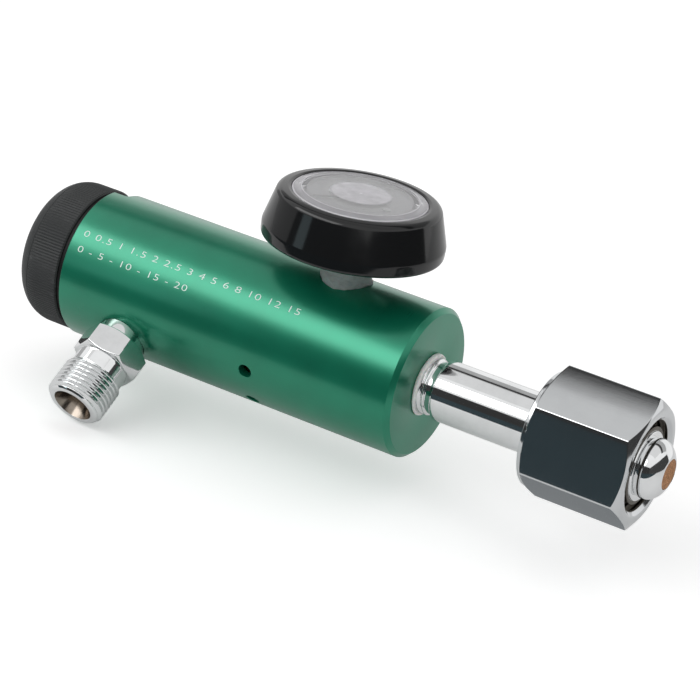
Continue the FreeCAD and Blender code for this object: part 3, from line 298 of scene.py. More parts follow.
@dataclass(frozen=True)
class Finish:
    """A surface finish; the kinds below differ in how their nodes are laid."""

    name: str
    colour: Rgb
    roughness: float = 0.4
    metallic: float = 0.0

    def lay(self, recipe: Recipe) -> None:
        """Lay the nodes of this finish; each kind has its own."""
        raise NotImplementedError(self.name)

    def shade(self, factor: float, lift: float = 0.0) -> Rgb:
        """Return the colour made darker or paler."""
        return tuple(min(1.0, part * factor + lift) for part in self.colour)

    def material(self) -> bpy.types.Material:
        """Return the material, made the first time that it is asked for.

        Returns:
            The material of this finish.
        """
        known = bpy.data.materials.get(self.name)
        if known is not None:
            return known
        made = bpy.data.materials.new(self.name)
        recipe = Recipe(made, "ShaderNodeBsdfPrincipled", "ShaderNodeOutputMaterial")
        recipe.set(Base_Color=self.colour, Roughness=self.roughness, Metallic=self.metallic)
        self.lay(recipe)
        made.diffuse_color = (*self.colour, 1.0)
        return made


@dataclass(frozen=True)
class SatinAnodised(Finish):
    """Dyed oxide on turned aluminium: deep colour under a clear skin, with faint turning lines."""

    metallic: float = 0.62
    skin: float = 0.42

    def lay(self, recipe: Recipe) -> None:
        """Lay dye clouds, turning lines and a satin skin.

        Args:
            recipe: the material's nodes.
        """
        spot = recipe.spot()
        clouds = recipe.noise(spot, 70.0, 4.0)
        lines = recipe.noise(spot * (1.0, 0.012, 0.012), 5200.0, 2.0)
        dust = recipe.cells(spot, 900.0).over(0.10, 0.04)
        recipe.set(
            Base_Color=recipe.blend(clouds.over(0.3, 0.7), self.shade(0.86), self.colour),
            Roughness=self.roughness + 0.05 * clouds + 0.05 * lines + 0.10 * dust,
            Coat_Weight=self.skin,
            Coat_Roughness=0.22,
            Coat_IOR=1.62,
            Normal=recipe.relief(lines, 1.2e-6, 0.5),
        )


@dataclass(frozen=True)
class PolishedPlate(Finish):
    """Bright plating, with faint haze and small handling marks."""

    metallic: float = 1.0
    waver: float = 1.0e-5

    def lay(self, recipe: Recipe) -> None:
        """Lay haze in the roughness and a slow waver in the polish.

        Args:
            recipe: the material's nodes.
        """
        spot = recipe.spot()
        haze = recipe.noise(spot, 160.0, 5.0, 0.6)
        marks = recipe.noise(spot * (0.25, 1.0, 1.0), 2600.0, 3.0, 0.7).over(0.62, 0.80)
        slow = recipe.noise(spot, 220.0, 1.0)
        recipe.set(
            Base_Color=recipe.blend(haze.over(0.35, 0.75), self.colour, self.shade(0.9)),
            Roughness=self.roughness + 0.06 * haze.over(0.45, 0.8) + 0.12 * marks,
            Normal=recipe.relief(slow, self.waver, 0.6),
        )


@dataclass(frozen=True)
class BrushedPlate(Finish):
    """Plated hexagon bar: drawn lines along the bar and turned rings on its ends."""

    metallic: float = 1.0

    def lay(self, recipe: Recipe) -> None:
        """Lay drawn lines, rings where the surface faces along the bar, and a faint haze.

        Args:
            recipe: the material's nodes.
        """
        spot = recipe.spot()
        drawn = recipe.noise(spot * (0.02, 1.0, 1.0), 4200.0, 3.0, 0.65)
        rings = recipe.noise(spot * (1.0, 0.05, 0.05), 3600.0, 2.0)
        along = recipe.axis(recipe.node("ShaderNodeNewGeometry", out="True Normal"), "X")
        ends = (along * along).over(0.2, 0.7)
        grain = drawn * (1 - ends) + rings * ends
        haze = recipe.noise(spot, 120.0, 4.0)
        recipe.set(
            Base_Color=recipe.blend(haze.over(0.35, 0.75) * 0.25, self.colour, self.shade(0.8)),
            Roughness=self.roughness + 0.06 * grain + 0.02 * haze,
            Normal=recipe.relief(grain, 4.0e-6, 0.5),
        )


@dataclass(frozen=True)
class GlossRubber(Finish):
    """Dipped black rubber with a wet shine and a slightly uneven skin."""

    def lay(self, recipe: Recipe) -> None:
        """Lay slow swells, fine pores and a shine that dulls in patches.

        Args:
            recipe: the material's nodes.
        """
        spot = recipe.spot()
        swells = recipe.noise(spot, 90.0, 2.0)
        pores = recipe.noise(spot, 2400.0, 2.0)
        dull = recipe.noise(spot, 45.0, 4.0).over(0.5, 0.8)
        recipe.set(
            Base_Color=recipe.blend(dull * 0.5, self.colour, self.shade(1.0, 0.010)),
            Roughness=self.roughness + 0.10 * dull + 0.04 * pores,
            Specular_IOR_Level=0.42,
            Normal=recipe.relief(swells + 0.06 * pores, 9.0e-5, 0.5),
        )


@dataclass(frozen=True)
class MouldedPlastic(Finish):
    """Moulded plastic with a fine spark-etched grain and rubbed high spots."""

    rubbed: float = 0.25
    shine: float = 0.3

    def lay(self, recipe: Recipe) -> None:
        """Lay etched grain and paler rubbed marks.

        Args:
            recipe: the material's nodes.
        """
        spot = recipe.spot()
        grain = recipe.noise(spot, 3800.0, 3.0, 0.7)
        rub = recipe.noise(spot * (0.35, 1.0, 1.0), 620.0, 4.0, 0.7).over(0.56, 0.72)
        recipe.set(
            Base_Color=recipe.blend(rub * self.rubbed, self.colour, self.shade(2.6, 0.03)),
            Roughness=self.roughness + 0.14 * grain,
            Specular_IOR_Level=self.shine,
            Normal=recipe.relief(grain, 1.5e-5, 0.6),
        )


@dataclass(frozen=True)
class ClearPlastic(Finish):
    """Clear moulded lens with hairline rubs, a frosted disc round its moulding gate, and painted
    highlights mixed in as white.

    Attributes:
        frosted: radius of the frosted disc.
        haze: share of white everywhere.
        frost: share of white in the disc.
        bevel: share of white on the sloping rim, a painted sheen.
        edges: middle, half width and share of white of each painted highlight ring; the ring at 0
            is a painted glint in the middle.
        face: heights between which the upper face starts, in metres.
        white: the white's own colour.
    """

    frosted: float = 6.9
    haze: float = 0.10
    frost: float = 0.58
    bevel: float = 0.24
    edges: tuple[Corner, ...] = ((13.35, 0.22, 0.7), (15.3, 0.3, 0.6), (0.0, 0.5, 0.5))
    face: Point = (0.0376, 0.0378)
    white: Rgb = (0.66, 0.65, 0.68)

    def lay(self, recipe: Recipe) -> None:
        """Lay hairline rubs in the roughness of a clear solid, and mix frost into its middle and
        painted highlights into its rim.

        Args:
            recipe: the material's nodes.
        """
        spot = recipe.spot()
        reach = recipe.from_gauge()
        top = recipe.axis(spot, "Z").over(*self.face)
        cloud = 0.3 + 1.4 * recipe.noise(spot, 260.0, 4.0, 0.6)
        frost = reach.over((self.frosted + 0.6) * MM, (self.frosted - 0.6) * MM) * top * cloud
        white = recipe.node("ShaderNodeBsdfDiffuse", {}, {"Color": self.white}, out="BSDF")
        clear = Wire(recipe, recipe.shader.outputs[0])
        # The rim's band and the rings below are painted highlights: white mixed into the clear lens
        # where it would catch light.
        share = self.haze + self.frost * frost + self.bevel * reach.over(13.3 * MM, 13.5 * MM)
        for middle, width, shine in self.edges:
            inner = reach.over((middle - width) * MM, middle * MM)
            outer = reach.over((middle + width) * MM, middle * MM)
            share = share + shine * (inner * outer)
        mixed = recipe.node("ShaderNodeMixShader", {}, {0: share, 1: clear, 2: white})
        recipe.feed(recipe.end.inputs[0], mixed)
        rubs = recipe.noise(spot * (0.15, 1.0, 1.0), 1500.0, 3.0, 0.7).over(0.66, 0.8)
        recipe.set(
            Roughness=self.roughness + 0.06 * rubs,
            Transmission_Weight=1.0,
            IOR=1.49,
            Normal=recipe.relief(recipe.noise(spot, 60.0, 1.0), 8.0e-6, 0.4),
        )


@dataclass(frozen=True)
class DialPlate(Finish):
    """Painted dial plate: a pale middle inside a greyer scale ring."""

    middle: Rgb = (0.27, 0.27, 0.27)
    middle_radius: float = 6.6

    def lay(self, recipe: Recipe) -> None:
        """Lay the two rings of paint and their faint orange peel.

        Args:
            recipe: the material's nodes.
        """
        edge = self.middle_radius * MM
        ring = recipe.from_gauge().over(edge - 1.0e-4, edge + 1.0e-4)
        spot = recipe.spot() - (behind(GAUGE_DEPTH) * MM, 0.0, 0.0)
        peel = recipe.noise(spot, 1800.0, 2.0)
        recipe.set(
            Base_Color=recipe.blend(ring, self.middle, self.colour),
            Roughness=self.roughness + 0.08 * peel,
            Normal=recipe.relief(peel, 6.0e-6, 0.4),
        )


@dataclass(frozen=True)
class WoundTape(Finish):
    """White sealing tape: soft plies that crease, with painted shade in their hollows."""

    def lay(self, recipe: Recipe) -> None:
        """Lay creases and painted shade in their low places.

        Args:
            recipe: the material's nodes.
        """
        spot = recipe.spot()
        crease = recipe.noise(spot * (1.0, 1.0, 3.0), 700.0, 5.0, 0.7)
        # Painted shade: the colour is darkened where the crease noise is low, in the hollows of the
        # bump.
        crease_shade = crease.over(0.58, 0.30)
        recipe.set(
            Base_Color=recipe.blend(crease_shade * 0.4, self.colour, self.shade(0.55)),
            Roughness=self.roughness + 0.15 * crease,
            Subsurface_Weight=0.15,
            Subsurface_Scale=0.0006,
            Normal=recipe.relief(crease, 7.0e-5, 0.8),
        )


@dataclass(frozen=True)
class SinteredGrain(Finish):
    """Bronze balls pressed together, with painted shade in the gaps between them."""

    metallic: float = 0.85
    grain: float = 5200.0

    def lay(self, recipe: Recipe) -> None:
        """Lay round grains and paint shade into the gaps.

        Args:
            recipe: the material's nodes.
        """
        spot = recipe.spot()
        ball = recipe.cells(spot, self.grain)
        # Painted shade: the gaps between the grains are blended towards a much darker bronze.
        gap = ball.over(0.32, 0.62)
        tone = recipe.noise(spot, 1400.0, 3.0)
        body = recipe.blend(tone.over(0.35, 0.7), self.colour, self.shade(1.25))
        recipe.set(
            Base_Color=recipe.blend(gap * 0.85, body, self.shade(0.28)),
            Roughness=self.roughness + 0.25 * gap,
            Normal=recipe.relief(1 - ball, 6.0e-5, 0.9),
        )


@dataclass(frozen=True)
class TurnedMetal(Finish):
    """Machined metal: cutter lines and a little oil stain."""

    metallic: float = 1.0
    line: Line = Line.BODY

    def lay(self, recipe: Recipe) -> None:
        """Lay cutter lines across the line that the piece was turned round.

        Args:
            recipe: the material's nodes.
        """
        spot = recipe.spot()
        squeeze = (1.0, 0.04, 0.04) if self.line is Line.BODY else (0.04, 0.04, 1.0)
        lines = recipe.noise(spot * squeeze, 3000.0, 2.0)
        stain = recipe.noise(spot, 210.0, 4.0, 0.6).over(0.5, 0.8)
        recipe.set(
            Base_Color=recipe.blend(stain * 0.8, self.colour, self.shade(0.62)),
            Roughness=self.roughness + 0.12 * lines + 0.12 * stain,
            Normal=recipe.relief(lines, 5.0e-6, 0.6),
        )


@dataclass(frozen=True)
class SealStock(Finish):
    """Seal rubber or seat plastic with a bloom on its skin."""

    def lay(self, recipe: Recipe) -> None:
        """Lay a pale bloom and a fine skin.

        Args:
            recipe: the material's nodes.
        """
        spot = recipe.spot()
        bloom = recipe.noise(spot, 500.0, 4.0).over(0.45, 0.75)
        skin = recipe.noise(spot, 4000.0, 2.0)
        recipe.set(
            Base_Color=recipe.blend(bloom * 0.6, self.colour, self.shade(1.5, 0.015)),
            Roughness=self.roughness + 0.15 * bloom,
            Normal=recipe.relief(skin, 4.0e-6, 0.5),
        )


@dataclass(frozen=True)
class MarkInk(Finish):
    """Ink or laser mark, a little thin in places."""

    under: Rgb = (0.2, 0.2, 0.2)

    def lay(self, recipe: Recipe) -> None:
        """Lay thin places where the ground shows through.

        Args:
            recipe: the material's nodes.
        """
        spot = recipe.spot()
        thin = recipe.noise(spot, 2600.0, 4.0, 0.7).over(0.52, 0.78)
        recipe.set(
            Base_Color=recipe.blend(thin * 0.55, self.colour, self.under),
            Roughness=self.roughness + 0.1 * thin,
            Normal=recipe.relief(thin, 3.0e-6, 0.4),
        )


GREEN = SatinAnodised("green_anodised_sleeve", (0.004, 0.232, 0.128), 0.24)
CHROME = PolishedPlate("chrome_plate", (0.81, 0.82, 0.825), 0.05)
MOUTH = TurnedMetal("tarnished_mouth", (0.30, 0.26, 0.22), 0.13)
# Dark plate for the stem's flange and the nut's bore: painted shade for the inside of the nut, with
# a brownish tarnish tint.
SHADED_PLATE = TurnedMetal("shade_painted_plate", (0.105, 0.095, 0.08), 0.34)
NICKEL = BrushedPlate("nickel_nut", (0.63, 0.645, 0.655), 0.06)
RUBBER = GlossRubber("black_boot_rubber", (0.007, 0.0075, 0.008), 0.09)
KNOB = MouldedPlastic("moulded_knob", (0.027, 0.029, 0.0295), 0.44)
# Black skirt plastic, made darker than the knob as painted shade for the gap between knob and
# sleeve.
SHADE_DARK_SKIRT = MouldedPlastic("shade_darkened_skirt", (0.0035, 0.0035, 0.0035), 0.5, rubbed=0.1)
LENS = ClearPlastic("lens_plastic", (0.97, 0.98, 0.98), 0.02)
DIAL = DialPlate("dial_paint", (0.185, 0.18, 0.19), 0.42)
TAPE = WoundTape("sealing_tape", (0.84, 0.84, 0.83), 0.55)
# A darker copy of the sealing tape: painted shade where the boot shades the gauge's stem.
SHADED_TAPE = WoundTape("shade_painted_sealing_tape", (0.25, 0.30, 0.29), 0.55)
BRONZE = SinteredGrain("sintered_bronze", (0.66, 0.33, 0.15), 0.42)
BRASS = TurnedMetal("turned_brass", (0.60, 0.42, 0.17), 0.26)
CLOCK_BRASS = TurnedMetal("movement_brass", (0.66, 0.48, 0.20), 0.20, line=Line.GAUGE)
TUBE_BRONZE = TurnedMetal("spring_tube_bronze", (0.62, 0.36, 0.20), 0.24, line=Line.GAUGE)
STEEL = TurnedMetal("turned_steel", (0.56, 0.57, 0.58), 0.24)
CASE_STEEL = TurnedMetal("pressed_steel", (0.50, 0.51, 0.52), 0.30, line=Line.GAUGE)
BALL_STEEL = PolishedPlate("ball_steel", (0.66, 0.67, 0.68), 0.08)
SCREW_STEEL = TurnedMetal("blackened_screw", (0.10, 0.10, 0.11), 0.38)
SEAL = SealStock("black_seal_stock", (0.018, 0.018, 0.020), 0.55)
SEAT = SealStock("seat_plastic", (0.72, 0.70, 0.62), 0.40)
SLEEVE_MARK = MarkInk("engraved_marks", (0.76, 0.84, 0.80), 0.55, under=(0.20, 0.42, 0.32))
SCALE_MARK = MarkInk("flow_numbers", (0.85, 0.85, 0.84), 0.5, under=(0.30, 0.30, 0.30))
DIAL_MARK = MarkInk("dial_print", (0.10, 0.10, 0.11), 0.5, under=(0.30, 0.30, 0.30))
NEEDLE = MarkInk("pointer_paint", (0.015, 0.015, 0.016), 0.35, under=(0.05, 0.05, 0.05))


# ---------------------------------------------------------------- meshes


def softened(corners: Sequence[Corner], steps: int = 4) -> list[Point]:
    """Round the corners of a closed outline.

    Args:
        corners: (along, radius, rounding) of each corner, in order.
        steps: faces in each rounded corner.

    Returns:
        The outline's points, (along, radius).
    """
    points: list[Point] = []
    for index, (along, radius, ease) in enumerate(corners):
        if ease <= 0:
            points.append((along, radius))
            continue
        here = Vector((along, radius))
        before = Vector(corners[index - 1][:2]) - here
        after = Vector(corners[(index + 1) % len(corners)][:2]) - here
        half = before.angle(after) / 2
        reach = min(ease / math.tan(half), 0.49 * before.length, 0.49 * after.length)
        bend = reach * math.tan(half)
        before.normalize()
        after.normalize()
        centre = here + (before + after).normalized() * (bend / math.sin(half))
        first, last = here + before * reach - centre, here + after * reach - centre
        start = math.atan2(first.y, first.x)
        sweep = (math.atan2(last.y, last.x) - start + math.pi) % TURN - math.pi
        for step in range(steps + 1):
            angle = start + sweep * step / steps
            points.append((centre.x + bend * math.cos(angle), centre.y + bend * math.sin(angle)))
    return points


@dataclass(frozen=True)
class HexBar:
    """A hexagon bar with rounded corners, seen along its line.

    Attributes:
        across: millimetres across the flats.
        corner: angle of one corner, in degrees.
        ease: rounding of the corners, in millimetres.
        crown: how far buffing has rounded each flat off towards its edges.
    """

    across: float
    corner: float
    ease: float
    crown: float = 0.0

    def angles(self, flat_steps: int, corner_steps: int) -> np.ndarray:
        """Spread points round it, close together at the corners.

        Args:
            flat_steps: points on each flat.
            corner_steps: points on each rounded corner.

        Returns:
            Their angles in radians.
        """
        middle = (self.across / 2 - self.ease) / math.cos(math.pi / 6)
        half = math.atan2(self.ease / 2, middle + self.ease * math.cos(math.pi / 6)) * 1.02
        parts = []
        for side in range(6):
            corner = math.radians(self.corner + 60 * side)
            last = corner + math.pi / 3 - half
            parts.append(np.linspace(corner - half, corner + half, corner_steps, endpoint=False))
            parts.append(np.linspace(corner + half, last, flat_steps, endpoint=False))
        return np.concatenate(parts)

    def radius(self, angles: np.ndarray) -> np.ndarray:
        """Measure the rounded hexagon from its line.

        Args:
            angles: where it is measured, in radians.

        Returns:
            Its distance from the line at each angle.
        """
        sixth = math.pi / 3
        off = np.abs((angles - math.radians(self.corner) + sixth / 2) % sixth - sixth / 2)
        flat = self.across / 2 / np.cos(sixth / 2 - off)
        middle = (self.across / 2 - self.ease) / math.cos(sixth / 2)
        inside = np.clip(self.ease**2 - (middle * np.sin(off)) ** 2, 0.0, None)
        rounded = middle * np.cos(off) + np.sqrt(inside)
        tangent = math.atan2(self.ease / 2, middle + self.ease * math.cos(sixth / 2))
        buffed = self.crown * (np.tan(sixth / 2 - off) / math.tan(sixth / 2)) ** 2
        return np.where(off < tangent, rounded, flat) - buffed


class Skin:
    """Rows of points round a line, closed into one mesh."""

    def __init__(self, angles: Union[int, np.ndarray]) -> None:
        """Start without rows.

        Args:
            angles: a number of even steps, or the angles themselves in radians.
        """
        if isinstance(angles, int):
            angles = np.linspace(0.0, TURN, angles, endpoint=False)
        self.angles = angles
        self.rows: list[tuple[np.ndarray, np.ndarray]] = []

    def ring(self, along: Size, radius: Size) -> None:
        """Add one row; either size may differ from angle to angle."""
        blank = np.zeros_like(self.angles)
        self.rows.append((blank + along, blank + radius))

    def outline(self, points: Sequence[tuple[Size, Size]]) -> None:
        """Add a row for each point of an outline."""
        for along, radius in points:
            self.ring(along, radius)

    def thread(
        self,
        start: float,
        end: float,
        root: float,
        crest: float,
        pitch: float,
        steps: int,
        lead: float,
    ) -> None:
        """Add the rows of a thread that fades in and out at its ends.

        Args:
            start: where it starts along the line.
            end: where it ends.
            root: radius at its ends and between crests.
            crest: radius at its crests; less than the root for a thread in a hole.
            pitch: distance from crest to crest.
            steps: rows in each pitch.
            lead: length over which it fades at both ends.
        """
        count = max(4, round(abs(end - start) / pitch * steps))
        for step in range(count + 1):
            along = start + (end - start) * step / count
            inside = min(abs(along - start), abs(end - along)) / lead
            fade = min(1.0, inside) ** 0.5 if inside > 0 else 0.0
            wave = 0.5 - 0.5 * np.cos(TURN * along / pitch - self.angles)
            self.ring(along, root + (crest - root) * fade * wave**0.75)

    def build(self, name: str, line: Line, sharp: float = 34.0) -> bpy.types.Object:
        """Close the rows into a mesh and shade it smooth, sharp where it turns.

        Args:
            name: the new object's name.
            line: the line that the piece is made round.
            sharp: degrees between faces from which an edge is sharp.

        Returns:
            The object, at the origin of the frame.
        """
        along = np.array([row[0] for row in self.rows])
        radius = np.array([row[1] for row in self.rows])
        local = np.stack([radius * np.cos(self.angles), radius * np.sin(self.angles), along], -1)
        place = np.array(line.place)
        points = (local.reshape(-1, 3) @ place[:3, :3].T + place[:3, 3]) * MM
        rows, columns = along.shape
        faces = []
        for row in range(rows):
            low, high = row * columns, (row + 1) % rows * columns
            for column in range(columns):
                beside = (column + 1) % columns
                faces.append((low + column, low + beside, high + beside, high + column))
        return meshed(name, points, faces, sharp)


def placed(name: str, data: bpy.types.ID) -> bpy.types.Object:
    """Make an object of a mesh, lamp, camera or font.

    Args:
        name: its name.
        data: what it shows.

    Returns:
        The object, linked to the scene.
    """
    made = bpy.data.objects.new(name, data)
    bpy.context.scene.collection.objects.link(made)
    return made


def meshed(name: str, points: Sequence, faces: Sequence, sharp: float) -> bpy.types.Object:
    """Make an object of points and faces, joined where points meet.

    Args:
        name: the new object's name.
        points: places in metres.
        faces: numbers of the points round each face.
        sharp: degrees between faces from which an edge is sharp.

    Returns:
        The new object, linked to the scene.
    """
    mesh = bpy.data.meshes.new(name)
    mesh.from_pydata([tuple(point) for point in points], [], faces)
    work = bmesh.new()
    work.from_mesh(mesh)
    bmesh.ops.remove_doubles(work, verts=work.verts, dist=MERGE)
    bmesh.ops.dissolve_degenerate(work, edges=work.edges, dist=SLIVER)
    bmesh.ops.recalc_face_normals(work, faces=work.faces)
    work.to_mesh(mesh)
    work.free()
    mesh.shade_smooth()
    mesh.set_sharp_from_angle(angle=math.radians(sharp))
    return placed(name, mesh)


def prism(count: int) -> list[tuple[int, ...]]:
    """Number the faces of a block with one outline at its foot and the same one on top.

    Args:
        count: corners of the outline.

    Returns:
        The foot, the top and the sides.
    """
    faces = [tuple(range(count)), tuple(range(count, 2 * count))]
    return faces + [(i, (i + 1) % count, count + (i + 1) % count, count + i) for i in range(count)]


def settled(piece: bpy.types.Object, tools: Sequence[bpy.types.Object]) -> bpy.types.Object:
    """Cut the tools out of a piece and delete them.

    Args:
        piece: what is cut.
        tools: what is taken away.

    Returns:
        The piece with its new mesh.
    """
    for number, tool in enumerate(tools):
        cut = piece.modifiers.new(f"cut_{number}", "BOOLEAN")
        cut.object, cut.operation, cut.solver = tool, "DIFFERENCE", "EXACT"
    seen = piece.evaluated_get(bpy.context.evaluated_depsgraph_get())
    mesh = bpy.data.meshes.new_from_object(seen)
    piece.modifiers.clear()
    piece.data = mesh
    for tool in tools:
        bpy.data.objects.remove(tool)
    return piece


def lettered(
    name: str, words: str, width: float, height: float, place: Placing, spacing: float = 1.0
) -> bpy.types.Object:
    """Make raised lettering that follows a surface.

    Args:
        name: the new object's name.
        words: plain numbers.
        width: millimetres from end to end; 0 keeps the font's own proportions.
        height: millimetres from foot to top.
        place: turns (across, up, out) in millimetres into a place in the frame in millimetres.
        spacing: letter spacing, 1 is the font's own.

    Returns:
        The new object.
    """
    face = bpy.data.curves.new(name + "_font", "FONT")
    face.body = words
    face.space_character = spacing
    face.resolution_u = 3
    face.extrude, face.offset = LETTER_DEPTH, LETTER_THINNING
    flat = placed(name, face)
    bpy.context.view_layer.update()
    seen = flat.evaluated_get(bpy.context.evaluated_depsgraph_get())
    mesh = bpy.data.meshes.new_from_object(seen)
    bpy.data.objects.remove(flat)
    spots = np.array([vertex.co for vertex in mesh.vertices])
    low, high = spots.min(0), spots.max(0)
    rise = height / (high[1] - low[1])
    stretch = width / (high[0] - low[0]) if width else rise
    for vertex in mesh.vertices:
        across = (vertex.co.x - (low[0] + high[0]) / 2) * stretch
        up = (vertex.co.y - low[1]) * rise
        vertex.co = Vector(place(across, up, vertex.co.z)) * MM
    return placed(name, mesh)


def gathered(name: str, pieces: Sequence[bpy.types.Object]) -> bpy.types.Object:
    """Join several meshes into one object.

    Args:
        name: the new object's name.
        pieces: what is joined; they are deleted.

    Returns:
        The new object.
    """
    work = bmesh.new()
    for piece in pieces:
        work.from_mesh(piece.data)
        bpy.data.objects.remove(piece)
    mesh = bpy.data.meshes.new(name)
    work.to_mesh(mesh)
    work.free()
    return placed(name, mesh)


def dressed(
    piece: bpy.types.Object, finish: Finish, body: str, replaces: Sequence[str] = ()
) -> bpy.types.Object:
    """Give a new piece its finish, its body and the CAD nodes that it stands for.

    Args:
        piece: the new piece.
        finish: its finish.
        body: the CAD body that it rides on.
        replaces: CAD nodes that it stands for.

    Returns:
        The piece.
    """
    piece.data.materials.clear()
    piece.data.materials.append(finish.material())
    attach(piece, body)
    if replaces:
        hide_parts(*replaces)
    LOG.info("%s: %d faces on %s", piece.name, len(piece.data.polygons), body)
    return piece


def two_toned(
    piece: bpy.types.Object, finish: Finish, line: Line, where: Callable[[float, float], bool]
) -> None:
    """Give part of a piece a second finish.

    Args:
        piece: a piece that has its first finish.
        finish: the second one.
        line: the line that the piece is made round.
        where: says whether a face gets it, from its place along the line and its distance from it.
    """
    piece.data.materials.append(finish.material())
    home = line.place.inverted()
    for face in piece.data.polygons:
        spot = home @ (face.center / MM)
        if where(spot.z, math.hypot(spot.x, spot.y)):
            face.material_index = len(piece.data.materials) - 1


def refinished(node: str, finish: Finish) -> None:
    """Give a CAD node that stays its own finish.

    Args:
        node: the CAD node's name.
        finish: its finish.
    """
    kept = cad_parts[node]
    if not kept.material_slots:
        kept.data.materials.append(None)
    for place in kept.material_slots:
        place.material = finish.material()
    LOG.info("%s: kept from the frame, in %s", node, finish.name)


# ---------------------------------------------------------------- sub-assemblies


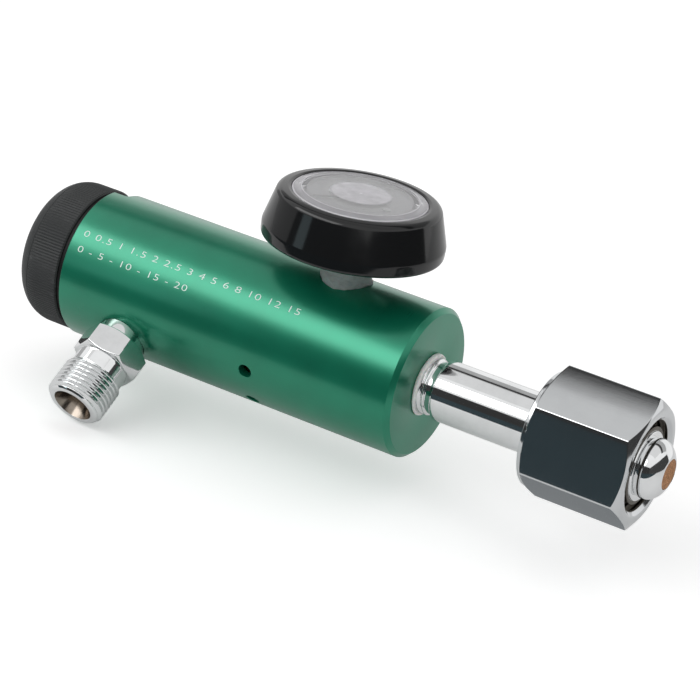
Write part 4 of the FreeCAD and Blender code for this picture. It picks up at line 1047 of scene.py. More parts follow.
@dataclass
class Sleeve:
    """The green sleeve, turned, cut through and marked.

    Attributes:
        radius: outside radius.
        length: from front face to rear edge.
        chamfer: on the front edge.
        bore: inside radius over the core.
        rear_bore: inside radius over the scale skirt.
        vents: angles of the two vents from the outlet.
        rows: name, words, width, height, depth of the middle and angle of the foot of each row.
        spacing: of the letters; 1 is the font's own.
    """

    radius: float = SLEEVE_RADIUS
    length: float = 89.0
    chamfer: float = 1.1
    bore: float = 15.7
    rear_bore: float = 16.9
    rear_step: float = 84.9
    front_wall: float = 3.0
    neck_hole: float = 6.15
    vent_radius: float = 1.65
    vent_depth: float = 37.4
    vents: tuple[float, float] = (-17.3, 17.3)
    gauge_hole: float = 6.0
    outlet_hole: float = 6.06
    window_turn: float = -24.4
    window_arc: float = 44.0
    window_length: float = 3.9
    window_corner: float = 1.2
    rows: tuple[tuple[str, str, float, float, float, float], ...] = (
        ("upper_row", "0 0.5 1 1.5 2 2.5 3 4 5 6 8 10 12 15", 58.9, 1.55, 57.15, 141.7),
        ("lower_row", "0 - 5 - 10 - 15 - 20", 30.3, 1.5, 71.25, 154.2),
    )
    spacing: float = 1.15

    def outline(self) -> list[Point]:
        """Return the sleeve's section."""
        return softened([
            (behind(0), self.neck_hole, 0.1),
            (behind(0), self.radius - self.chamfer, 0.12),
            (behind(self.chamfer), self.radius, 0.12),
            (behind(self.length), self.radius, 0.15),
            (behind(self.length), self.rear_bore, 0.1),
            (behind(self.rear_step), self.rear_bore, 0.0),
            (behind(self.rear_step), self.bore, 0.0),
            (behind(self.front_wall), self.bore, 0.0),
            (behind(self.front_wall), self.neck_hole, 0.0),
        ])

    def hole(
        self, name: str, radius: float, depth: float, turn: float, edge: float
    ) -> bpy.types.Object:
        """Return a round cutter with an eased mouth, pointing out of the body.

        Args:
            name: the cutter's name.
            radius: of the hole.
            depth: behind the front face.
            turn: degrees round the body from straight up.
            edge: width of the eased mouth.

        Returns:
            The cutter.
        """
        skin = Skin(72)
        foot, over = 4.0, self.radius + 1.0
        skin.outline([
            (foot, 0.0), (foot, radius), (self.radius - edge, radius),
            (over, radius + edge + 1.0), (over, 0.0),
        ])
        cutter = skin.build(name, Line.GAUGE)
        tilt = Matrix.Rotation(math.radians(turn), 4, "X")
        home = Matrix.Translation((-behind(GAUGE_DEPTH) * MM, 0, 0))
        cutter.data.transform(Matrix.Translation((behind(depth) * MM, 0, 0)) @ tilt @ home)
        return cutter

    def window(self) -> bpy.types.Object:
        """Shape the notch in the rear edge that shows one flow number.

        Returns:
            Its cutter.
        """
        half = self.radius * math.sin(math.radians(self.window_arc / 2))
        front = behind(self.length - self.window_length)
        rear = behind(self.length + 2.0)
        corner = self.window_corner
        shape = [(rear, -half)]
        for side in (-1, 1):
            for step in range(7):
                angle = math.radians(90 * (step if side < 0 else 6 - step) / 6)
                shape.append((front - corner + corner * math.sin(angle),
                              side * (half - corner + corner * math.cos(angle))))
        shape.append((rear, half))
        points = [Vector((x, y, z)) * MM for z in (8.0, self.radius + 2.0) for x, y in shape]
        cutter = meshed("window_cutter", points, prism(len(shape)), 30.0)
        cutter.data.transform(Matrix.Rotation(math.radians(self.window_turn), 4, "X"))
        return cutter

    def true_normals(self, piece: bpy.types.Object) -> None:
        """Give the cut sleeve the normals of the turned form, so that no cut shows in its shine.

        Args:
            piece: the sleeve after its cuts.
        """
        spots = [Vector((a * MM, r * MM)) for a, r in self.outline()]
        count = len(spots)
        steps = [(spots[(i + 1) % count] - spots[i]) for i in range(count)]
        flats = [Vector((step.y, -step.x)).normalized() for step in steps]
        middle = Vector((behind(self.length / 2) * MM, self.radius * MM))
        outer = min(range(count), key=lambda i: (spots[i] + steps[i] / 2 - middle).length)
        if flats[outer].y < 0:
            flats = [-flat for flat in flats]
        smooth, near_enough, alike = 0.6, 4.0e-5, 0.8

        def joined(flat: Vector, beside: Vector) -> Vector:
            """Return the normal where two flats meet: one between them where they nearly agree."""
            return (flat + beside).normalized() if flat.angle(beside) < smooth else flat

        def share(spot: Vector, i: int) -> float:
            """Return how far along one flat a place of the section lies, from 0 to 1."""
            reach = (spot - spots[i]).dot(steps[i]) / max(steps[i].length_squared, 1e-14)
            return min(1.0, max(0.0, reach))

        starts = [joined(flats[i], flats[i - 1]) for i in range(count)]
        ends = [joined(flats[i], flats[(i + 1) % count]) for i in range(count)]
        mesh = piece.data
        normals: list[Vector] = [Vector((0, 0, 1))] * len(mesh.loops)
        for face in mesh.polygons:
            middle3, facing = face.center, face.normal
            ring = Vector((middle3.x, math.hypot(middle3.y, middle3.z)))
            out = Vector((0, middle3.y, middle3.z)).normalized()
            best, found = near_enough, -1
            for i in range(count):
                gap = (ring - (spots[i] + steps[i] * share(ring, i))).length
                tilt = Vector((flats[i].x, 0, 0)) + out * flats[i].y
                if gap < best and tilt.dot(facing) > alike:
                    best, found = gap, i
            for loop in face.loop_indices:
                if found < 0:
                    normals[loop] = facing.copy()
                    continue
                spot = mesh.vertices[mesh.loops[loop].vertex_index].co
                level = share(Vector((spot.x, math.hypot(spot.y, spot.z))), found)
                way = starts[found].lerp(ends[found], level)
                side = Vector((0, spot.y, spot.z)).normalized()
                normals[loop] = (Vector((way.x, 0, 0)) + side * way.y).normalized()
        mesh.shade_smooth()
        mesh.normals_split_custom_set([tuple(normal) for normal in normals])

    def on_surface(self, middle: float, foot: float) -> Placing:
        """Return the placing of marks that run along the body.

        Args:
            middle: depth of the middle of the row.
            foot: angle of the row's foot.

        Returns:
            A placing for lettered().
        """
        def place(across: float, up: float, out: float) -> Corner:
            """Return the place of one point of the marks."""
            angle = math.radians(foot) - up / self.radius
            reach = self.radius + out
            return behind(middle) + across, reach * math.cos(angle), reach * math.sin(angle)
        return place

    def marks(self) -> bpy.types.Object:
        """Return the two rows of plain numbers and ticks in place of the printed words."""
        return gathered("sleeve_marks", [
            lettered(name, words, width, height, self.on_surface(middle, foot), self.spacing)
            for name, words, width, height, middle, foot in self.rows
        ])

    def build(self) -> None:
        """Build the sleeve and its marks."""
        skin = Skin(288)
        skin.outline(self.outline())
        blank = skin.build("green_sleeve", Line.BODY)
        tools = []
        for i, turn in enumerate(self.vents):
            place = (self.vent_depth, OUTLET_TURN + turn)
            tools.append(self.hole(f"vent_cutter_{i}", self.vent_radius, *place, 0.12))
        tools.append(self.hole("gauge_cutter", self.gauge_hole, GAUGE_DEPTH, 0.0, 0.1))
        tools.append(self.hole("outlet_cutter", self.outlet_hole, OUTLET_DEPTH, OUTLET_TURN, 0.1))
        tools.append(self.window())
        sleeve = settled(blank, tools)
        self.true_normals(sleeve)
        dressed(sleeve, GREEN, "body", ["shell"])
        dressed(self.marks(), SLEEVE_MARK, "body")


@dataclass
class InletStem:
    """The plated stem with its threaded neck, thrust flange, nose and filter."""

    neck: float = 6.1
    neck_end: float = 9.0
    neck_crest: float = 6.62
    neck_pitch: float = 1.337
    neck_relief: float = 1.3
    tube_start: float = -50.3
    tube: float = 7.1
    flange: float = 9.0
    flange_length: float = 3.0
    nose: float = 5.7
    ring: float = 8.1
    ball: float = 6.95
    ball_start: float = 1.8
    bore: float = 2.0
    pocket: float = 3.53
    filter_radius: float = 3.5
    filter_length: float = 6.0
    tape_radius: float = 7.4
    tape_length: float = 0.9

    def ball_outline(self) -> list[Corner]:
        """Round the nose's side.

        Returns:
            Its corners, from its widest place to the filter's rim.
        """
        last = math.acos((self.pocket + 0.12) / self.ball)
        depth = (self.nose - self.ball_start) / math.sin(last)
        return [(self.ball_start + depth * math.sin(turn), self.ball * math.cos(turn), 0.0)
                for turn in np.linspace(-0.35, last, 20)]

    def stem(self) -> bpy.types.Object:
        """Return the stem."""
        skin = Skin(192)
        rear, face = behind(self.neck_end), behind(0)
        skin.outline([(rear, self.bore), (rear, self.neck), (face + 0.1, self.neck)])
        skin.thread(face + 0.2, self.tube_start - self.neck_relief, self.neck, self.neck_crest,
                    self.neck_pitch, 14, 0.4)
        skin.outline(self.front_outline())
        return skin.build("plated_stem", Line.BODY)

    def front_outline(self) -> list[Point]:
        """Draw the stem's front.

        Returns:
            Its section from the tube's start to the filter's pocket.
        """
        floor = self.nose - self.filter_length - 0.03
        whole = softened([
            (behind(self.neck_end), self.bore, 0.0),
            (behind(self.neck_end), self.neck, 0.0),
            (self.tube_start, self.neck, 0.1),
            (self.tube_start, self.tube - 0.5, 0.12),
            (self.tube_start + 0.5, self.tube, 0.12),
            (-self.flange_length, self.tube, 0.15),
            (-self.flange_length, self.flange, 0.25),
            (0.0, self.flange, 0.25),
            (0.0, self.ring, 0.05),
            (0.4, self.ring - 0.1, 0.25),
            (0.5, self.ball - 0.5, 0.3),
            *self.ball_outline(),
            (self.nose, self.pocket + 0.06, 0.0),
            (self.nose - 0.06, self.pocket, 0.0),
            (floor, self.pocket, 0.0),
            (floor, self.bore, 0.0),
        ], 8)
        return whole[2:]

    def filter(self) -> bpy.types.Object:
        """Press the sintered plug.

        Returns:
            The plug, its open face a little uneven.
        """
        skin = Skin(96)
        rear, rim = self.nose - self.filter_length, self.filter_radius
        face = self.nose
        skin.outline([(rear, 0.0), (rear, rim), (face - 0.2, rim), (face - 0.06, rim - 0.08)])
        for step in range(24):
            radius = (rim - 0.2) * (1 - step / 24)
            wave = np.sin(step * 1.7 + 3 * np.cos(skin.angles * 4))
            ripple = 0.035 * np.sin(skin.angles * 9 + step * 2.1) * wave
            skin.ring(face - 0.05 + ripple * min(1.0, radius), radius)
        skin.ring(face - 0.05, 0.0)
        return skin.build("bronze_filter", Line.BODY, 50.0)

    def tape(self) -> bpy.types.Object:
        """Wind the white tape that is squeezed out at the sleeve's face.

        Returns:
            The ring of tape.
        """
        skin = Skin(160)
        turn, wide, face = skin.angles, self.tape_radius, behind(0)
        front = behind(-self.tape_length) + 0.35 * np.sin(turn)
        ragged = 0.10 * np.sin(7 * turn + 0.6) * np.sin(3 * turn) + 0.05 * np.sin(23 * turn)
        bulge = 0.12 * np.sin(5 * turn + 1.1) + 0.05 * np.sin(17 * turn)
        skin.outline([
            (face + 0.02, self.neck + 0.05),
            (face + 0.02, wide - 0.25 + bulge * 0.5),
            (face + 0.15, wide - 0.08 + bulge * 0.5),
            (front - 0.35, wide - 0.05 + bulge * 0.4),
            (front - 0.1 + ragged * 0.5, wide - 0.25 + bulge * 0.5),
            (front + ragged, wide - 0.55 + bulge),
            (front + ragged, self.neck + 0.3),
            (front - 0.2, self.neck + 0.05),
        ])
        return skin.build("stem_tape_ring", Line.BODY, 60.0)

    def build(self) -> None:
        """Build the stem, its filter and its tape."""
        stem = dressed(self.stem(), CHROME, "body", ["inlet_stem"])
        rear = -self.flange_length - 0.5
        # The flange face and side get the dark plate: painted shade inside the nut.
        two_toned(stem, SHADED_PLATE, Line.BODY,
                  lambda along, reach: reach > self.ring + 0.02 and rear < along < 0.1)
        dressed(self.filter(), BRONZE, "body", ["inlet_filter"])
        dressed(self.tape(), TAPE, "body", ["stem_thread_tape"])


@dataclass
class SwivelNut:
    """The hexagonal swivel nut, chamfered at both ends and threaded inside."""

    across: float = 27.0
    corner: float = 81.9
    ease: float = 0.55
    crown: float = 0.15
    rim: float = 13.0
    rear_rim: float = 13.35
    collar: float = 1.0
    front: float = 0.8
    length: float = 25.4
    wall: float = 5.0
    hole: float = 7.4
    thread_minor: float = 10.55
    thread_major: float = 11.35
    pitch: float = 1.814
    relief: float = 11.6
    relief_length: float = 2.2
    rear_slope: float = 0.42
    grooves: tuple[Point, ...] = ((10.0, 10.5), (11.2, 11.6))

    def cone(
        self,
        skin: Skin,
        bar: HexBar,
        end: float,
        way: int,
        rim: float,
        slope: float,
        collar: float = 0.0,
    ) -> None:
        """Add the rows where the turned chamfer meets the flats at one end.

        Args:
            skin: the skin that gets the rows.
            bar: the hexagon.
            end: place of that end along the body.
            way: 1 where the rows run up from the end, -1 where they run down to it.
            rim: radius of the flat end.
            slope: length of the chamfer for each millimetre of its height.
            collar: length of the turned collar before the chamfer starts.
        """
        top = bar.radius(skin.angles)
        inward = 1 if end < 0 else -1
        meet = (top - rim) * slope + collar
        rows = [(0.0, rim - 0.45), (0.0, rim - 0.12), (0.05, rim + 0.02)]
        if collar:
            rows = [(0.0, rim - 0.8), (0.0, rim - 0.4), (0.1, rim - 0.16), (0.3, rim - 0.03)]
            rows.append((collar - 0.1, rim))
        for share in (0.25, 0.85):
            rows.append((collar + share * (meet - collar), rim + share * (top - rim)))
        rows += [(meet - 0.01, top - 0.035), (meet + 0.10, top - 0.004), (meet + 0.28, top)]
        for off, radius in rows if way > 0 else reversed(rows):
            skin.ring(end + inward * np.maximum(off, 0.0), radius)

    def build(self) -> None:
        """Build the nut."""
        bar = HexBar(self.across, self.corner, self.ease, self.crown)
        skin = Skin(bar.angles(18, 9))
        rear = self.front - self.length
        floor = rear + self.wall
        relief_end = floor + self.relief_length
        skin.outline([(rear + 0.25, self.hole), (rear, self.hole + 0.25)])
        for (inner, outer), sink in zip(self.grooves, (0.06, 0.05)):
            low = rear + sink
            skin.outline([(rear, inner), (low, inner + 0.1), (low, outer - 0.1), (rear, outer)])
        self.cone(skin, bar, rear, 1, self.rear_rim, self.rear_slope, self.collar)
        self.cone(skin, bar, self.front, -1, self.rim, math.tan(math.radians(30)))
        mouth = self.thread_minor + self.front
        skin.outline([(self.front, 12.0), (self.front, mouth + 0.12), (self.front - 0.08, mouth),
                      (0.05, self.thread_minor + 0.12)])
        skin.thread(0.0, relief_end, self.thread_minor, self.thread_major, self.pitch, 14, 0.8)
        skin.outline([
            (relief_end - 0.05, self.relief), (floor + 0.2, self.relief),
            (floor, self.relief - 0.2), (floor, self.hole + 0.2), (floor - 0.2, self.hole),
        ])
        nut = skin.build("swivel_nut", Line.BODY)
        dressed(nut, NICKEL, "nut", ["inlet_nut"])
        # The nut's bore and thread get the dark plate: painted shade inside the nut.
        two_toned(nut, SHADED_PLATE, Line.BODY,
                  lambda along, reach: reach < 11.5 and rear + 1 < along < 0.1)


@dataclass
class OutletNipple:
    """The plated outlet: shank, neck, hexagon, thread and coned mouth in one piece."""

    shank: float = 4.8
    shank_start: float = 6.4
    seat: float = 14.0
    neck: float = 6.0
    hex_start: float = 19.5
    hex_end: float = 26.0
    across: float = 14.29
    corner: float = 46.1
    relief: float = 6.4
    thread_start: float = 30.2
    end: float = 38.6
    thread_radius: float = 7.14
    thread_root: float = 6.36
    pitch: float = 1.18
    mouth: float = 4.85
    socket: float = 3.3
    cone_length: float = 4.6
    socket_start: float = 31.0
    bore: float = 1.6

    def build(self) -> None:
        """Build the nipple."""
        bar = HexBar(self.across, self.corner, 0.35)
        skin = Skin(bar.angles(24, 7))
        top = bar.radius(skin.angles)
        rim = self.across / 2 - 0.15
        slope = math.tan(math.radians(30))
        meet = (top - rim) * slope
        foot, start, end = self.shank_start, self.hex_start, self.hex_end
        skin.outline([
            (foot, self.bore), (foot, self.shank - 0.3), (foot + 0.3, self.shank),
            (self.seat, self.shank), (self.seat, self.neck), (start - 0.5, self.neck),
            (start - 0.12, self.neck + 0.08), (start, self.neck + 0.35), (start, rim - 0.2),
        ])
        rows = [
            (0.03, rim), (meet - 0.06, top - 0.09), (meet + 0.02, top - 0.03), (meet + 0.16, top)
        ]
        skin.outline([(start + np.maximum(off, 0.0), radius) for off, radius in rows])
        skin.outline([(end - np.maximum(off, 0.0), radius) for off, radius in reversed(rows)])
        skin.outline([
            (end, rim - 0.2), (end, self.relief + 0.4), (end + 0.12, self.relief + 0.1),
            (end + 0.5, self.relief), (self.thread_start - 0.9, self.relief),
        ])
        skin.thread(self.thread_start - 0.75, self.end - 0.55, self.thread_root, self.thread_radius,
                    self.pitch, 20, 0.55)
        skin.outline(softened([
            (self.end - 0.45, self.thread_root, 0.0),
            (self.end, self.thread_root - 0.35, 0.15),
            (self.end, self.mouth, 0.12),
            (self.end - self.cone_length, self.socket, 0.1),
            (self.socket_start, self.socket, 0.0),
            (self.socket_start, self.bore, 0.0),
        ]))
        fitting = skin.build("outlet_fitting", Line.OUTLET)
        dressed(fitting, CHROME, "body", ["outlet_nipple"])
        two_toned(fitting, MOUTH, Line.OUTLET,
                  lambda along, reach: reach < self.mouth - 0.12 and along > self.socket_start - 1)


@dataclass
class ContentsGauge:
    """The contents gauge: boot, lens, dial and print, and the movement that the frame keeps.

    Attributes:
        lift: height of the dial's face.
        tick_ring: outer radius of the ticks.
        tick_height: how far print stands out.
        ticks: spaces between the ticks.
        number_ring: radius of the numbers' middles.
        number_height: of the numbers.
        sweep_start: angle of the first tick.
        sweep: degrees from the first tick to the last.
        numbers: at even spaces over the sweep.
        tape_low: foot of the wound tape.
        tape_high: its top.
        tape_bore: its inside radius.
        tape_radius: its outside radius.
        flare: first and last height, middle and half width of the tape's flare on the sleeve.
    """

    lift: float = 35.3
    tick_ring: float = 12.9
    tick_height: float = 0.03
    ticks: int = 40
    number_ring: float = 9.4
    number_height: float = 1.7
    sweep_start: float = 225.0
    sweep: float = 270.0
    numbers: tuple[str, ...] = ("0", "5", "10", "15", "20")
    tape_low: float = 14.2
    tape_high: float = 25.3
    tape_bore: float = 5.15
    tape_radius: float = 5.62
    flare: tuple[float, float, float, float] = (17.2, 19.0, 17.9, 1.1)

    def boot(self) -> bpy.types.Object:
        """Mould the soft cover.

        Returns:
            The cover, its sides a little uneven.
        """
        skin = Skin(224)
        outline = softened([
            (25.9, 9.0, 0.3), (25.9, 20.9, 1.1), (28.9, 21.0, 2.4), (37.3, 18.57, 2.0),
            (37.55, 16.3, 0.28), (37.4, 15.6, 0.14), (37.0, 15.6, 0.0), (37.0, 17.1, 0.0),
            (27.2, 17.1, 0.0), (27.2, 9.0, 0.2),
        ], 8)
        turn = skin.angles
        for along, radius in outline:
            swell = 0.05 * np.sin(3 * turn + 0.12 * along) + 0.03 * np.sin(5 * turn + 1.3)
            outside = radius > 17.2 or along > 37.3
            skin.ring(along, radius + (swell - 0.08) * (0.5 if outside and along < 36 else 0.0))
        return skin.build("gauge_cover", Line.GAUGE, 40.0)

    def lens(self) -> bpy.types.Object:
        """Mould the clear lens.

        Returns:
            The lens, with its sloping rim and the step that holds it.
        """
        skin = Skin(192)
        side = softened([
            (36.7, 6.0, 0.0), (38.0, 6.0, 0.0), (38.0, 13.4, 0.22), (37.4, 15.4, 0.14),
            (36.9, 15.4, 0.05), (36.9, 16.9, 0.12), (35.9, 16.9, 0.1), (35.9, 14.1, 0.1),
            (36.1, 14.1, 0.1), (36.7, 12.1, 0.1),
        ])
        skin.outline([(38.0, 0.0), *side[1:], (36.7, 6.0), (36.7, 0.0)])
        return skin.build("gauge_lens_clear", Line.GAUGE, 30.0)

    def dial(self) -> bpy.types.Object:
        """Return the dial plate with its turned-down edge."""
        skin = Skin(160)
        back, rim, hole = self.lift - 0.4, 14.6, 0.9
        skin.outline(softened([
            (back, hole, 0.0), (back, rim, 0.1), (self.lift, rim, 0.12), (self.lift, hole, 0.05)
        ]))
        return skin.build("dial_plate", Line.GAUGE, 30.0)

    def on_dial(self, reach: float, angle: float) -> Placing:
        """Return the placing of a number that stands upright at one place of the dial.

        Args:
            reach: distance of the number's middle from the dial's centre.
            angle: its angle, in degrees.

        Returns:
            A placing for lettered().
        """
        def place(across: float, up: float, out: float) -> Corner:
            """Return the place of one point of the number."""
            spot = math.radians(angle)
            return (behind(GAUGE_DEPTH) + reach * math.cos(spot) + across,
                    reach * math.sin(spot) + up - self.number_height / 2,
                    self.lift + LETTER_DEPTH + out)
        return place

    def print(self) -> bpy.types.Object:
        """Print the dial.

        Returns:
            Its ticks, their ring and its plain numbers.
        """
        parts = []
        for step in range(self.ticks + 1):
            angle = math.radians(self.sweep_start - self.sweep * step / self.ticks)
            long = step % 10 == 0
            inner = self.tick_ring - (1.7 if long else 1.15 if step % 5 == 0 else 0.7)
            wide = 0.16 if long else 0.09
            side = Vector((-math.sin(angle), math.cos(angle), 0))
            out = Vector((math.cos(angle), math.sin(angle), 0))
            middle = Vector((behind(GAUGE_DEPTH), 0, self.lift))
            rim = self.tick_ring
            spots = ((inner, -wide), (rim, -wide), (rim, wide), (inner, wide))
            corners = [middle + out * reach + side * off for reach, off in spots]
            points = [(corner + Vector((0, 0, rise))) * MM for rise in (0.0, self.tick_height)
                      for corner in corners]
            parts.append(meshed(f"tick_{step}", points, prism(4), 30.0))
        skin = Skin(160)
        inner, outer = self.tick_ring + 0.15, self.tick_ring + 0.3
        top = self.lift + self.tick_height
        skin.outline([(self.lift, inner), (self.lift, outer), (top, outer), (top, inner)])
        parts.append(skin.build("scale_ring", Line.GAUGE, 30.0))
        for index, words in enumerate(self.numbers):
            angle = self.sweep_start - self.sweep * index / (len(self.numbers) - 1)
            place = self.on_dial(self.number_ring, angle)
            parts.append(lettered(f"number_{index}", words, 0.0, self.number_height, place))
        return gathered("dial_print", parts)

    def sag(self, radius: np.ndarray, angles: np.ndarray) -> np.ndarray:
        """Return how far the sleeve's round top has fallen away beside the gauge's line."""
        across = np.minimum(radius, 8.0) * np.sin(angles)
        return SLEEVE_RADIUS - np.sqrt(SLEEVE_RADIUS**2 - across**2)

    def tape(self) -> bpy.types.Object:
        """Wind the tape on the gauge's stem.

        Returns:
            The tape in ragged plies, flared where it meets the sleeve.
        """
        skin = Skin(180)
        first, last, middle, spread = self.flare
        skin.ring(self.tape_low, self.tape_bore)
        count = 64
        for step in range(count + 1):
            along = self.tape_low + (self.tape_high - self.tape_low) * step / count
            ply = (along / 2.3 + skin.angles / TURN) % 1.0
            crease = np.sin(13 * skin.angles + along * 3.1) * np.sin(5 * skin.angles - along * 5.3)
            radius = self.tape_radius + 0.22 * ply**2 + 0.08 * crease
            if first < along < last:
                ragged = 0.5 + 0.3 * np.sin(4 * skin.angles + 0.7) + 0.2 * np.sin(11 * skin.angles)
                wide = 0.6 * (1 - abs(along - middle) / spread) * ragged
                sag = self.sag(radius + wide, skin.angles)
                skin.ring(along - sag, radius + np.maximum(wide, 0.0))
                continue
            skin.ring(along - self.sag(radius, skin.angles) * (along < last), radius)
        skin.ring(self.tape_high, self.tape_bore)
        return skin.build("gauge_stem_tape", Line.GAUGE, 60.0)

    def build(self) -> None:
        """Build the gauge's seen pieces and finish the ones that stay."""
        dressed(self.boot(), RUBBER, "body", ["gauge_boot"])
        dressed(self.lens(), LENS, "body", ["gauge_lens"])
        dressed(self.dial(), DIAL, "body", ["gauge_dial"])
        dressed(self.print(), DIAL_MARK, "body")
        # The gauge's tape takes the darker copy of the tape: painted shade under the boot.
        dressed(self.tape(), SHADED_TAPE, "body", ["gauge_thread_tape"])
        for finish, nodes in {
            CASE_STEEL: "case dial_screws arbor link",
            CLOCK_BRASS: "socket lower_plate upper_plate pillars sector",
            TUBE_BRONZE: "bourdon_tube",
            NEEDLE: "pointer",
        }.items():
            for node in nodes.split():
                refinished(f"gauge_{node}", finish)


@dataclass
class FlowKnob:
    """The moulded flow knob with its knurl, and the skirt that carries the flow numbers."""

    radius: float = 17.35
    start: float = 90.4
    end: float = 103.4
    round: float = 6.8
    teeth: int = 156
    tooth_depth: float = 0.12
    knurl_end: float = 19.8
    drum: float = 16.7
    drum_start: float = 85.2
    drum_bore: float = 14.8
    web: float = 87.1
    pocket: float = 97.5
    number_height: float = 2.5
    number_depth: float = 88.4
    numbers: tuple[str, ...] = ("0", ".5", "1", "1.5", "2", "2.5", "3", "4", "6", "8", "10", "15")
    window_angle: float = 65.6

    def knob(self) -> bpy.types.Object:
        """Mould the knob.

        Returns:
            The knob, knurled round its side, with its skirt.
        """
        skin = Skin(self.teeth * 6)
        tooth = np.abs(2 * ((skin.angles * self.teeth / TURN) % 1.0) - 1)
        start, drum, wide = self.start, self.drum, self.radius
        skin.outline([(behind(depth), radius) for depth, radius in (
            (self.web, 2.05), (self.web, self.drum_bore), (self.drum_start, self.drum_bore),
            (self.drum_start, drum - 0.12), (self.drum_start + 0.12, drum), (start, drum),
            (start, wide - 0.55),
        )])
        middle = wide - self.round
        flat_end = self.end - self.round
        sides = [(start + 0.05, wide - 0.38, 0.25), (start + 0.4, wide - 0.02, 1.0),
                 (start + 0.8, wide, 1.0), (flat_end, wide, 1.0)]
        for degrees in (4, 8, 12, 16, self.knurl_end - 0.8):
            angle = math.radians(degrees)
            out, up = self.round * math.sin(angle), self.round * math.cos(angle)
            sides.append((flat_end + out, middle + up, 1.0))
        for depth, radius, share in sides:
            skin.ring(behind(depth), radius - self.tooth_depth * share * (1 - tooth))
        rear = [(self.knurl_end, -0.10), (self.knurl_end + 0.8, 0.0)]
        rear += [(degrees, 0.0) for degrees in (24, 28, 34, 40, 47, 54, 61, 68, 75, 82, 90)]
        for degrees, sink in rear:
            angle = math.radians(degrees)
            skin.ring(behind(flat_end + (self.round + sink) * math.sin(angle)),
                      middle + (self.round + sink) * math.cos(angle))
        end = self.end
        skin.outline([(behind(depth), radius) for depth, radius in (
            (end, 9.2), (end - 0.3, 8.9), (end - 0.3, 4.4), (end, 4.1), (end, 3.6),
            (end - 0.2, 3.4), (end - 4.0, 3.4), (end - 4.0, 1.6), (self.pocket, 1.6),
            (self.pocket, 2.05),
        )])
        return skin.build("selector_knob", Line.BODY, 30.0)

    def on_skirt(self, angle: float) -> Placing:
        """Return the placing of a number on the skirt, its top towards the gauge.

        Args:
            angle: degrees round the body of the number's middle.

        Returns:
            A placing for lettered().
        """
        def place(across: float, up: float, out: float) -> Corner:
            """Return the place of one point of the number."""
            spot = math.radians(angle) + across / self.drum
            reach = self.drum + out
            return behind(self.number_depth) + up, reach * math.cos(spot), reach * math.sin(spot)
        return place

    def build(self) -> None:
        """Build the knob and its numbers, and finish its screw."""
        knob = dressed(self.knob(), KNOB, "selector", ["flow_knob"])
        rear = behind(self.start + 0.04)
        # The skirt gets the darker plastic: its own black, deepened as painted shade in the gap.
        two_toned(knob, SHADE_DARK_SKIRT, Line.BODY,
                  lambda along, reach: self.drum_bore < reach < self.radius - 0.3 and along > rear)
        parts = []
        for index, words in enumerate(self.numbers):
            place = self.on_skirt(self.window_angle + 360 // len(self.numbers) * index)
            parts.append(lettered(f"flow_{index}", words, 0.0, self.number_height, place))
        dressed(gathered("flow_scale", parts), SCALE_MARK, "selector")
        refinished("knob_screw", SCREW_STEEL)


@dataclass(frozen=True)
class Coil:
    """A coil spring, wound between its two ends.

    Attributes:
        name: its name.
        node: the CAD node that it stands for.
        joint: the joint that presses it; not used.
        rear: end that the moving piece presses, in millimetres along the body.
        front: end on the seat.
        seat: place that stays still; not used.
        middle: its line's place across the body, along y and z.
        radius: of the wire's own line round that line.
        wire: radius of the wire.
        turns: number of turns.
        stroke: how far the joint moves; not used.
    """

    name: str
    node: str
    joint: str
    rear: float
    front: float
    seat: float
    middle: Point
    radius: float
    wire: float
    turns: float
    stroke: float

    def build(self) -> None:
        """Wind the wire and give the spring its own mesh."""
        count, sides = round(self.turns * 40), 12
        turn = np.linspace(0.0, TURN * self.turns, count + 1)
        along = np.linspace(self.rear + self.wire, self.front - self.wire, count + 1)
        blank = np.zeros_like(turn)
        out = np.stack([blank, np.cos(turn), np.sin(turn)], -1)
        middle = np.stack([along, blank + self.middle[0], blank + self.middle[1]], -1)
        line = middle + self.radius * out
        way = np.gradient(line, axis=0)
        side = np.cross(way / np.linalg.norm(way, axis=1, keepdims=True), out)
        round_wire = np.linspace(0.0, TURN, sides, endpoint=False)[None, :, None]
        rim = np.cos(round_wire) * out[:, None] + np.sin(round_wire) * side[:, None]
        points = line[:, None] + self.wire * rim
        last = count * sides
        faces: list[tuple[int, ...]] = [tuple(range(sides)), tuple(range(last, last + sides))]
        for low in range(0, last, sides):
            for i in range(sides):
                beside = low + (i + 1) % sides
                faces.append((low + i, beside, beside + sides, low + i + sides))
        spring = meshed(self.name, points.reshape(-1, 3) * MM, faces, 50.0)
        dressed(spring, STEEL, "body", [self.node])
        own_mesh(spring)


@dataclass
class Inside:
    """The working pieces inside the sleeve; all but two springs stay as the frame has them."""

    springs: tuple[Coil, ...] = (
        Coil("regulating_coil", "regulating_spring", "piston_slide",
             -108.95, -89.55, -89.5, (0.0, 0.0), 8.6, 1.1, 6.5, 0.7),
        Coil("detent_coil", "detent_spring", "detent_slide",
             -138.8, -136.75, -136.7, (5.0525, -7.448), 1.1, 0.2, 3.5, 0.55),
    )
    finishes: tuple[tuple[Finish, str], ...] = (
        (BRASS, "core_body flow_block selector_cover regulating_piston"),
        (STEEL, "cover_retaining_ring orifice_disc port_seal_spring selector_spindle"),
        (SEAL, "piston_rod_seal piston_head_seal port_seal spindle_seal cover_seal"),
        (SEAT, "piston_seat"),
        (BALL_STEEL, "detent_ball"),
    )

    def build(self) -> None:
        """Wind the springs that move and finish the other pieces."""
        for spring in self.springs:
            spring.build()
        for finish, nodes in self.finishes:
            for node in nodes.split():
                refinished(node, finish)


# ---------------------------------------------------------------- studio


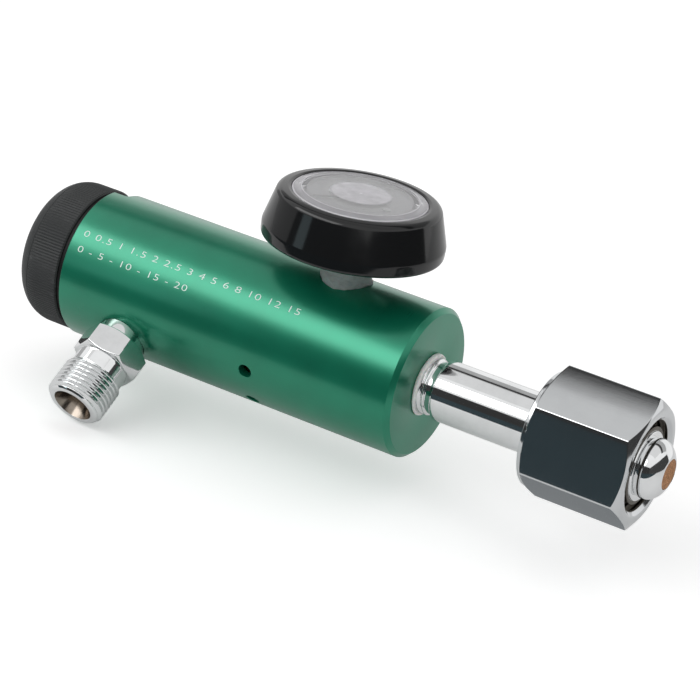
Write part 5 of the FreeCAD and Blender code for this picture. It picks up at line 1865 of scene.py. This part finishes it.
@dataclass(frozen=True)
class Card:
    """A plain card of the studio that only the shine of the object sees.

    Attributes:
        name: its name.
        corner: one corner, in millimetres.
        along: its first side from that corner.
        up: its second side from that corner.
        level: how light it is, 1 is white.
        tint: its own colour.
    """

    name: str
    corner: Rgb
    along: Rgb
    up: Rgb
    level: float
    tint: Rgb = (1.0, 1.0, 1.0)

    def build(self) -> None:
        """Stand the card in its place."""
        start, along, up = (Vector(part) * MM for part in (self.corner, self.along, self.up))
        corners = [start, start + along, start + along + up, start + up]
        card = meshed(self.name, corners, [(0, 1, 2, 3)], 30.0)
        paint = bpy.data.materials.new(self.name)
        recipe = Recipe(paint, "ShaderNodeEmission", "ShaderNodeOutputMaterial")
        recipe.set(Color=self.tint, Strength=self.level)
        paint.cycles.emission_sampling = "NONE"
        card.data.materials.append(paint)
        card.visible_camera = card.visible_diffuse = card.visible_shadow = False
        card.visible_transmission = card.visible_volume_scatter = False


@dataclass(frozen=True)
class Softbox:
    """A soft lamp with an even face.

    Attributes:
        name: its name.
        towards: its direction from the object's middle.
        distance: millimetres from there.
        size: its width and height in millimetres.
        level: how light its face is, 1 is white.
    """

    name: str
    towards: Rgb
    distance: float
    size: tuple[float, float]
    level: float

    def build(self, middle: Vector) -> None:
        """Hang the lamp facing the object.

        Args:
            middle: the object's middle, in metres.
        """
        lamp = bpy.data.lights.new(self.name, "AREA")
        lamp.shape = "RECTANGLE"
        lamp.size, lamp.size_y = (side * MM for side in self.size)
        lamp.energy = self.level * math.pi * lamp.size * lamp.size_y
        held = placed(self.name, lamp)
        way = Vector(self.towards).normalized()
        held.location = middle + way * self.distance * MM
        held.rotation_euler = way.to_track_quat("Z", "Y").to_euler()


@dataclass
class Studio:
    """Camera, pale floor, white room and soft lamps.

    Attributes:
        eye: the camera's place, in millimetres.
        aim: its turn, in degrees.
        lens: its lens on a 36 mm sensor.
        floor: height of the floor, in millimetres.
        floor_half: half the floor's width, in metres.
        room: level of the room's light on matt surfaces.
        floor_lift: light added to the floor for the camera, so that it fades to white.
        middle: the object's middle, in millimetres.
        lamps: soft lamps round it.
        cards: what its shine sees, besides the white room.
    """

    eye: Rgb = (183.4789, -520.5189, 238.3192)
    aim: Rgb = (67.50155, -9.13904, 30.16370)
    lens: float = 142.277
    floor: float = -27.7
    floor_half: float = 3.0
    room: float = 0.62
    floor_lift: float = 0.34
    middle: Rgb = (-75.0, 0.0, 0.0)
    lamps: tuple[Softbox, ...] = (
        Softbox("key_softbox", (-0.44, -0.63, 0.62), 900.0, (1100.0, 350.0), 2.55),
        Softbox("top_softbox", (0.1, 0.25, 0.96), 1500.0, (1800.0, 1500.0), 0.25),
    )
    cards: tuple[Card, ...] = (
        Card("dark_wall", (-900.0, -520.0, -27.0), (1320.0, 0.0, 0.0), (0.0, 0.0, 245.0), 0.04),
        Card("dark_right", (420.0, -520.0, -26.0), (0.0, 900.0, 0.0), (0.0, 0.0, 240.0), 0.06),
        Card("grey_left", (-900.0, -520.0, -26.0), (0.0, 1000.0, 0.0), (0.0, 0.0, 300.0), 0.45),
        Card("dark_floor", (-900.0, -520.0, -26.5), (1320.0, 0.0, 0.0), (0.0, 445.0, 0.0), 0.066,
             (0.62, 0.88, 1.0)),
        Card("window", (-620.0, -518.0, 20.0), (210.0, 0.0, 0.0), (0.0, 0.0, 170.0), 1.0,
             (0.75, 0.95, 1.0)),
        Card("grey_top", (-700.0, -290.0, 700.0), (1300.0, 0.0, 0.0), (0.0, 590.0, 0.0), 0.8),
        # A dim card just under the nut, seen only in the object's shine: painted shadow for the
        # nut's shadow on the floor.
        Card("painted_shadow_under", (-32.0, -4.0, -26.8), (28.0, 0.0, 0.0), (0.0, 22.0, 0.0), 0.26,
             (0.92, 0.97, 1.0)),
        Card("grey_back", (-1100.0, 245.0, 600.0), (1700.0, 0.0, 0.0), (0.0, 400.0, -150.0), 0.45),
        Card("dark_strip", (-1100.0, 257.0, 560.0), (1700.0, 0.0, 0.0), (0.0, 300.0, -20.0), 0.05),
    )

    def seen(self, recipe: Recipe) -> Wire:
        """Find the rays that show the room itself.

        Args:
            recipe: the room's nodes.

        Returns:
            1 for the camera's rays and those of shine and glass, 0 for the rest.
        """
        path = "ShaderNodeLightPath"
        whole = recipe.node(path, out="Is Camera Ray") + recipe.node(path, out="Is Glossy Ray")
        whole = whole + recipe.node(path, out="Is Transmission Ray")
        return whole.over(0.0, 1.0)

    def sky(self) -> None:
        """Make the white room."""
        world = bpy.data.worlds.new("white_room")
        bpy.context.scene.world = world
        recipe = Recipe(world, "ShaderNodeBackground", "ShaderNodeOutputWorld")
        recipe.set(Color=(1.0, 1.0, 1.0), Strength=self.room + (1 - self.room) * self.seen(recipe))

    def ground(self) -> None:
        """Lay the pale floor."""
        turns = ((-1, -1), (1, -1), (1, 1), (-1, 1))
        points = [(self.floor_half * x, self.floor_half * y, self.floor * MM) for x, y in turns]
        floor = meshed("studio_floor", points, [(0, 1, 2, 3)], 30.0)
        paint = bpy.data.materials.new("studio_floor")
        recipe = Recipe(paint, "ShaderNodeBsdfPrincipled", "ShaderNodeOutputMaterial")
        camera = recipe.node("ShaderNodeLightPath", out="Is Camera Ray")
        lift = recipe.blend(camera, (0.0, 0.0, 0.0), (self.floor_lift,) * 3)
        recipe.set(Base_Color=(0.90, 0.90, 0.90), Roughness=0.85, Specular_IOR_Level=0.2,
                   Emission_Color=lift, Emission_Strength=1.0)
        floor.data.materials.append(paint)

    def camera(self) -> None:
        """Set the camera where the photographer stood."""
        data = bpy.data.cameras.new("photo_camera")
        data.lens, data.sensor_width = self.lens, 36.0
        data.clip_start, data.clip_end = 0.01, 20.0
        camera = placed("photo_camera", data)
        camera.location = Vector(self.eye) * MM
        camera.rotation_euler = Euler([math.radians(angle) for angle in self.aim], "XYZ")
        bpy.context.scene.camera = camera

    def build(self) -> None:
        """Build the studio."""
        bpy.context.scene.view_settings.view_transform = "Standard"
        self.camera()
        self.sky()
        self.ground()
        middle = Vector(self.middle) * MM
        for lamp in self.lamps:
            lamp.build(middle)
            LOG.info("%s: hangs towards %s", lamp.name, lamp.towards)
        for card in self.cards:
            card.build()
            LOG.info("%s: stands at %s", card.name, card.corner)


def main() -> None:
    """Build the studio and dress the regulator, sub-assembly by sub-assembly."""
    logging.basicConfig(level=logging.INFO, format="%(name)s: %(message)s")
    for kind in (
        Studio, Sleeve, InletStem, SwivelNut, OutletNipple, ContentsGauge, FlowKnob, Inside
    ):
        LOG.info("building %s", kind.__name__)
        kind().build()


if __name__ == "__main__":
    main()
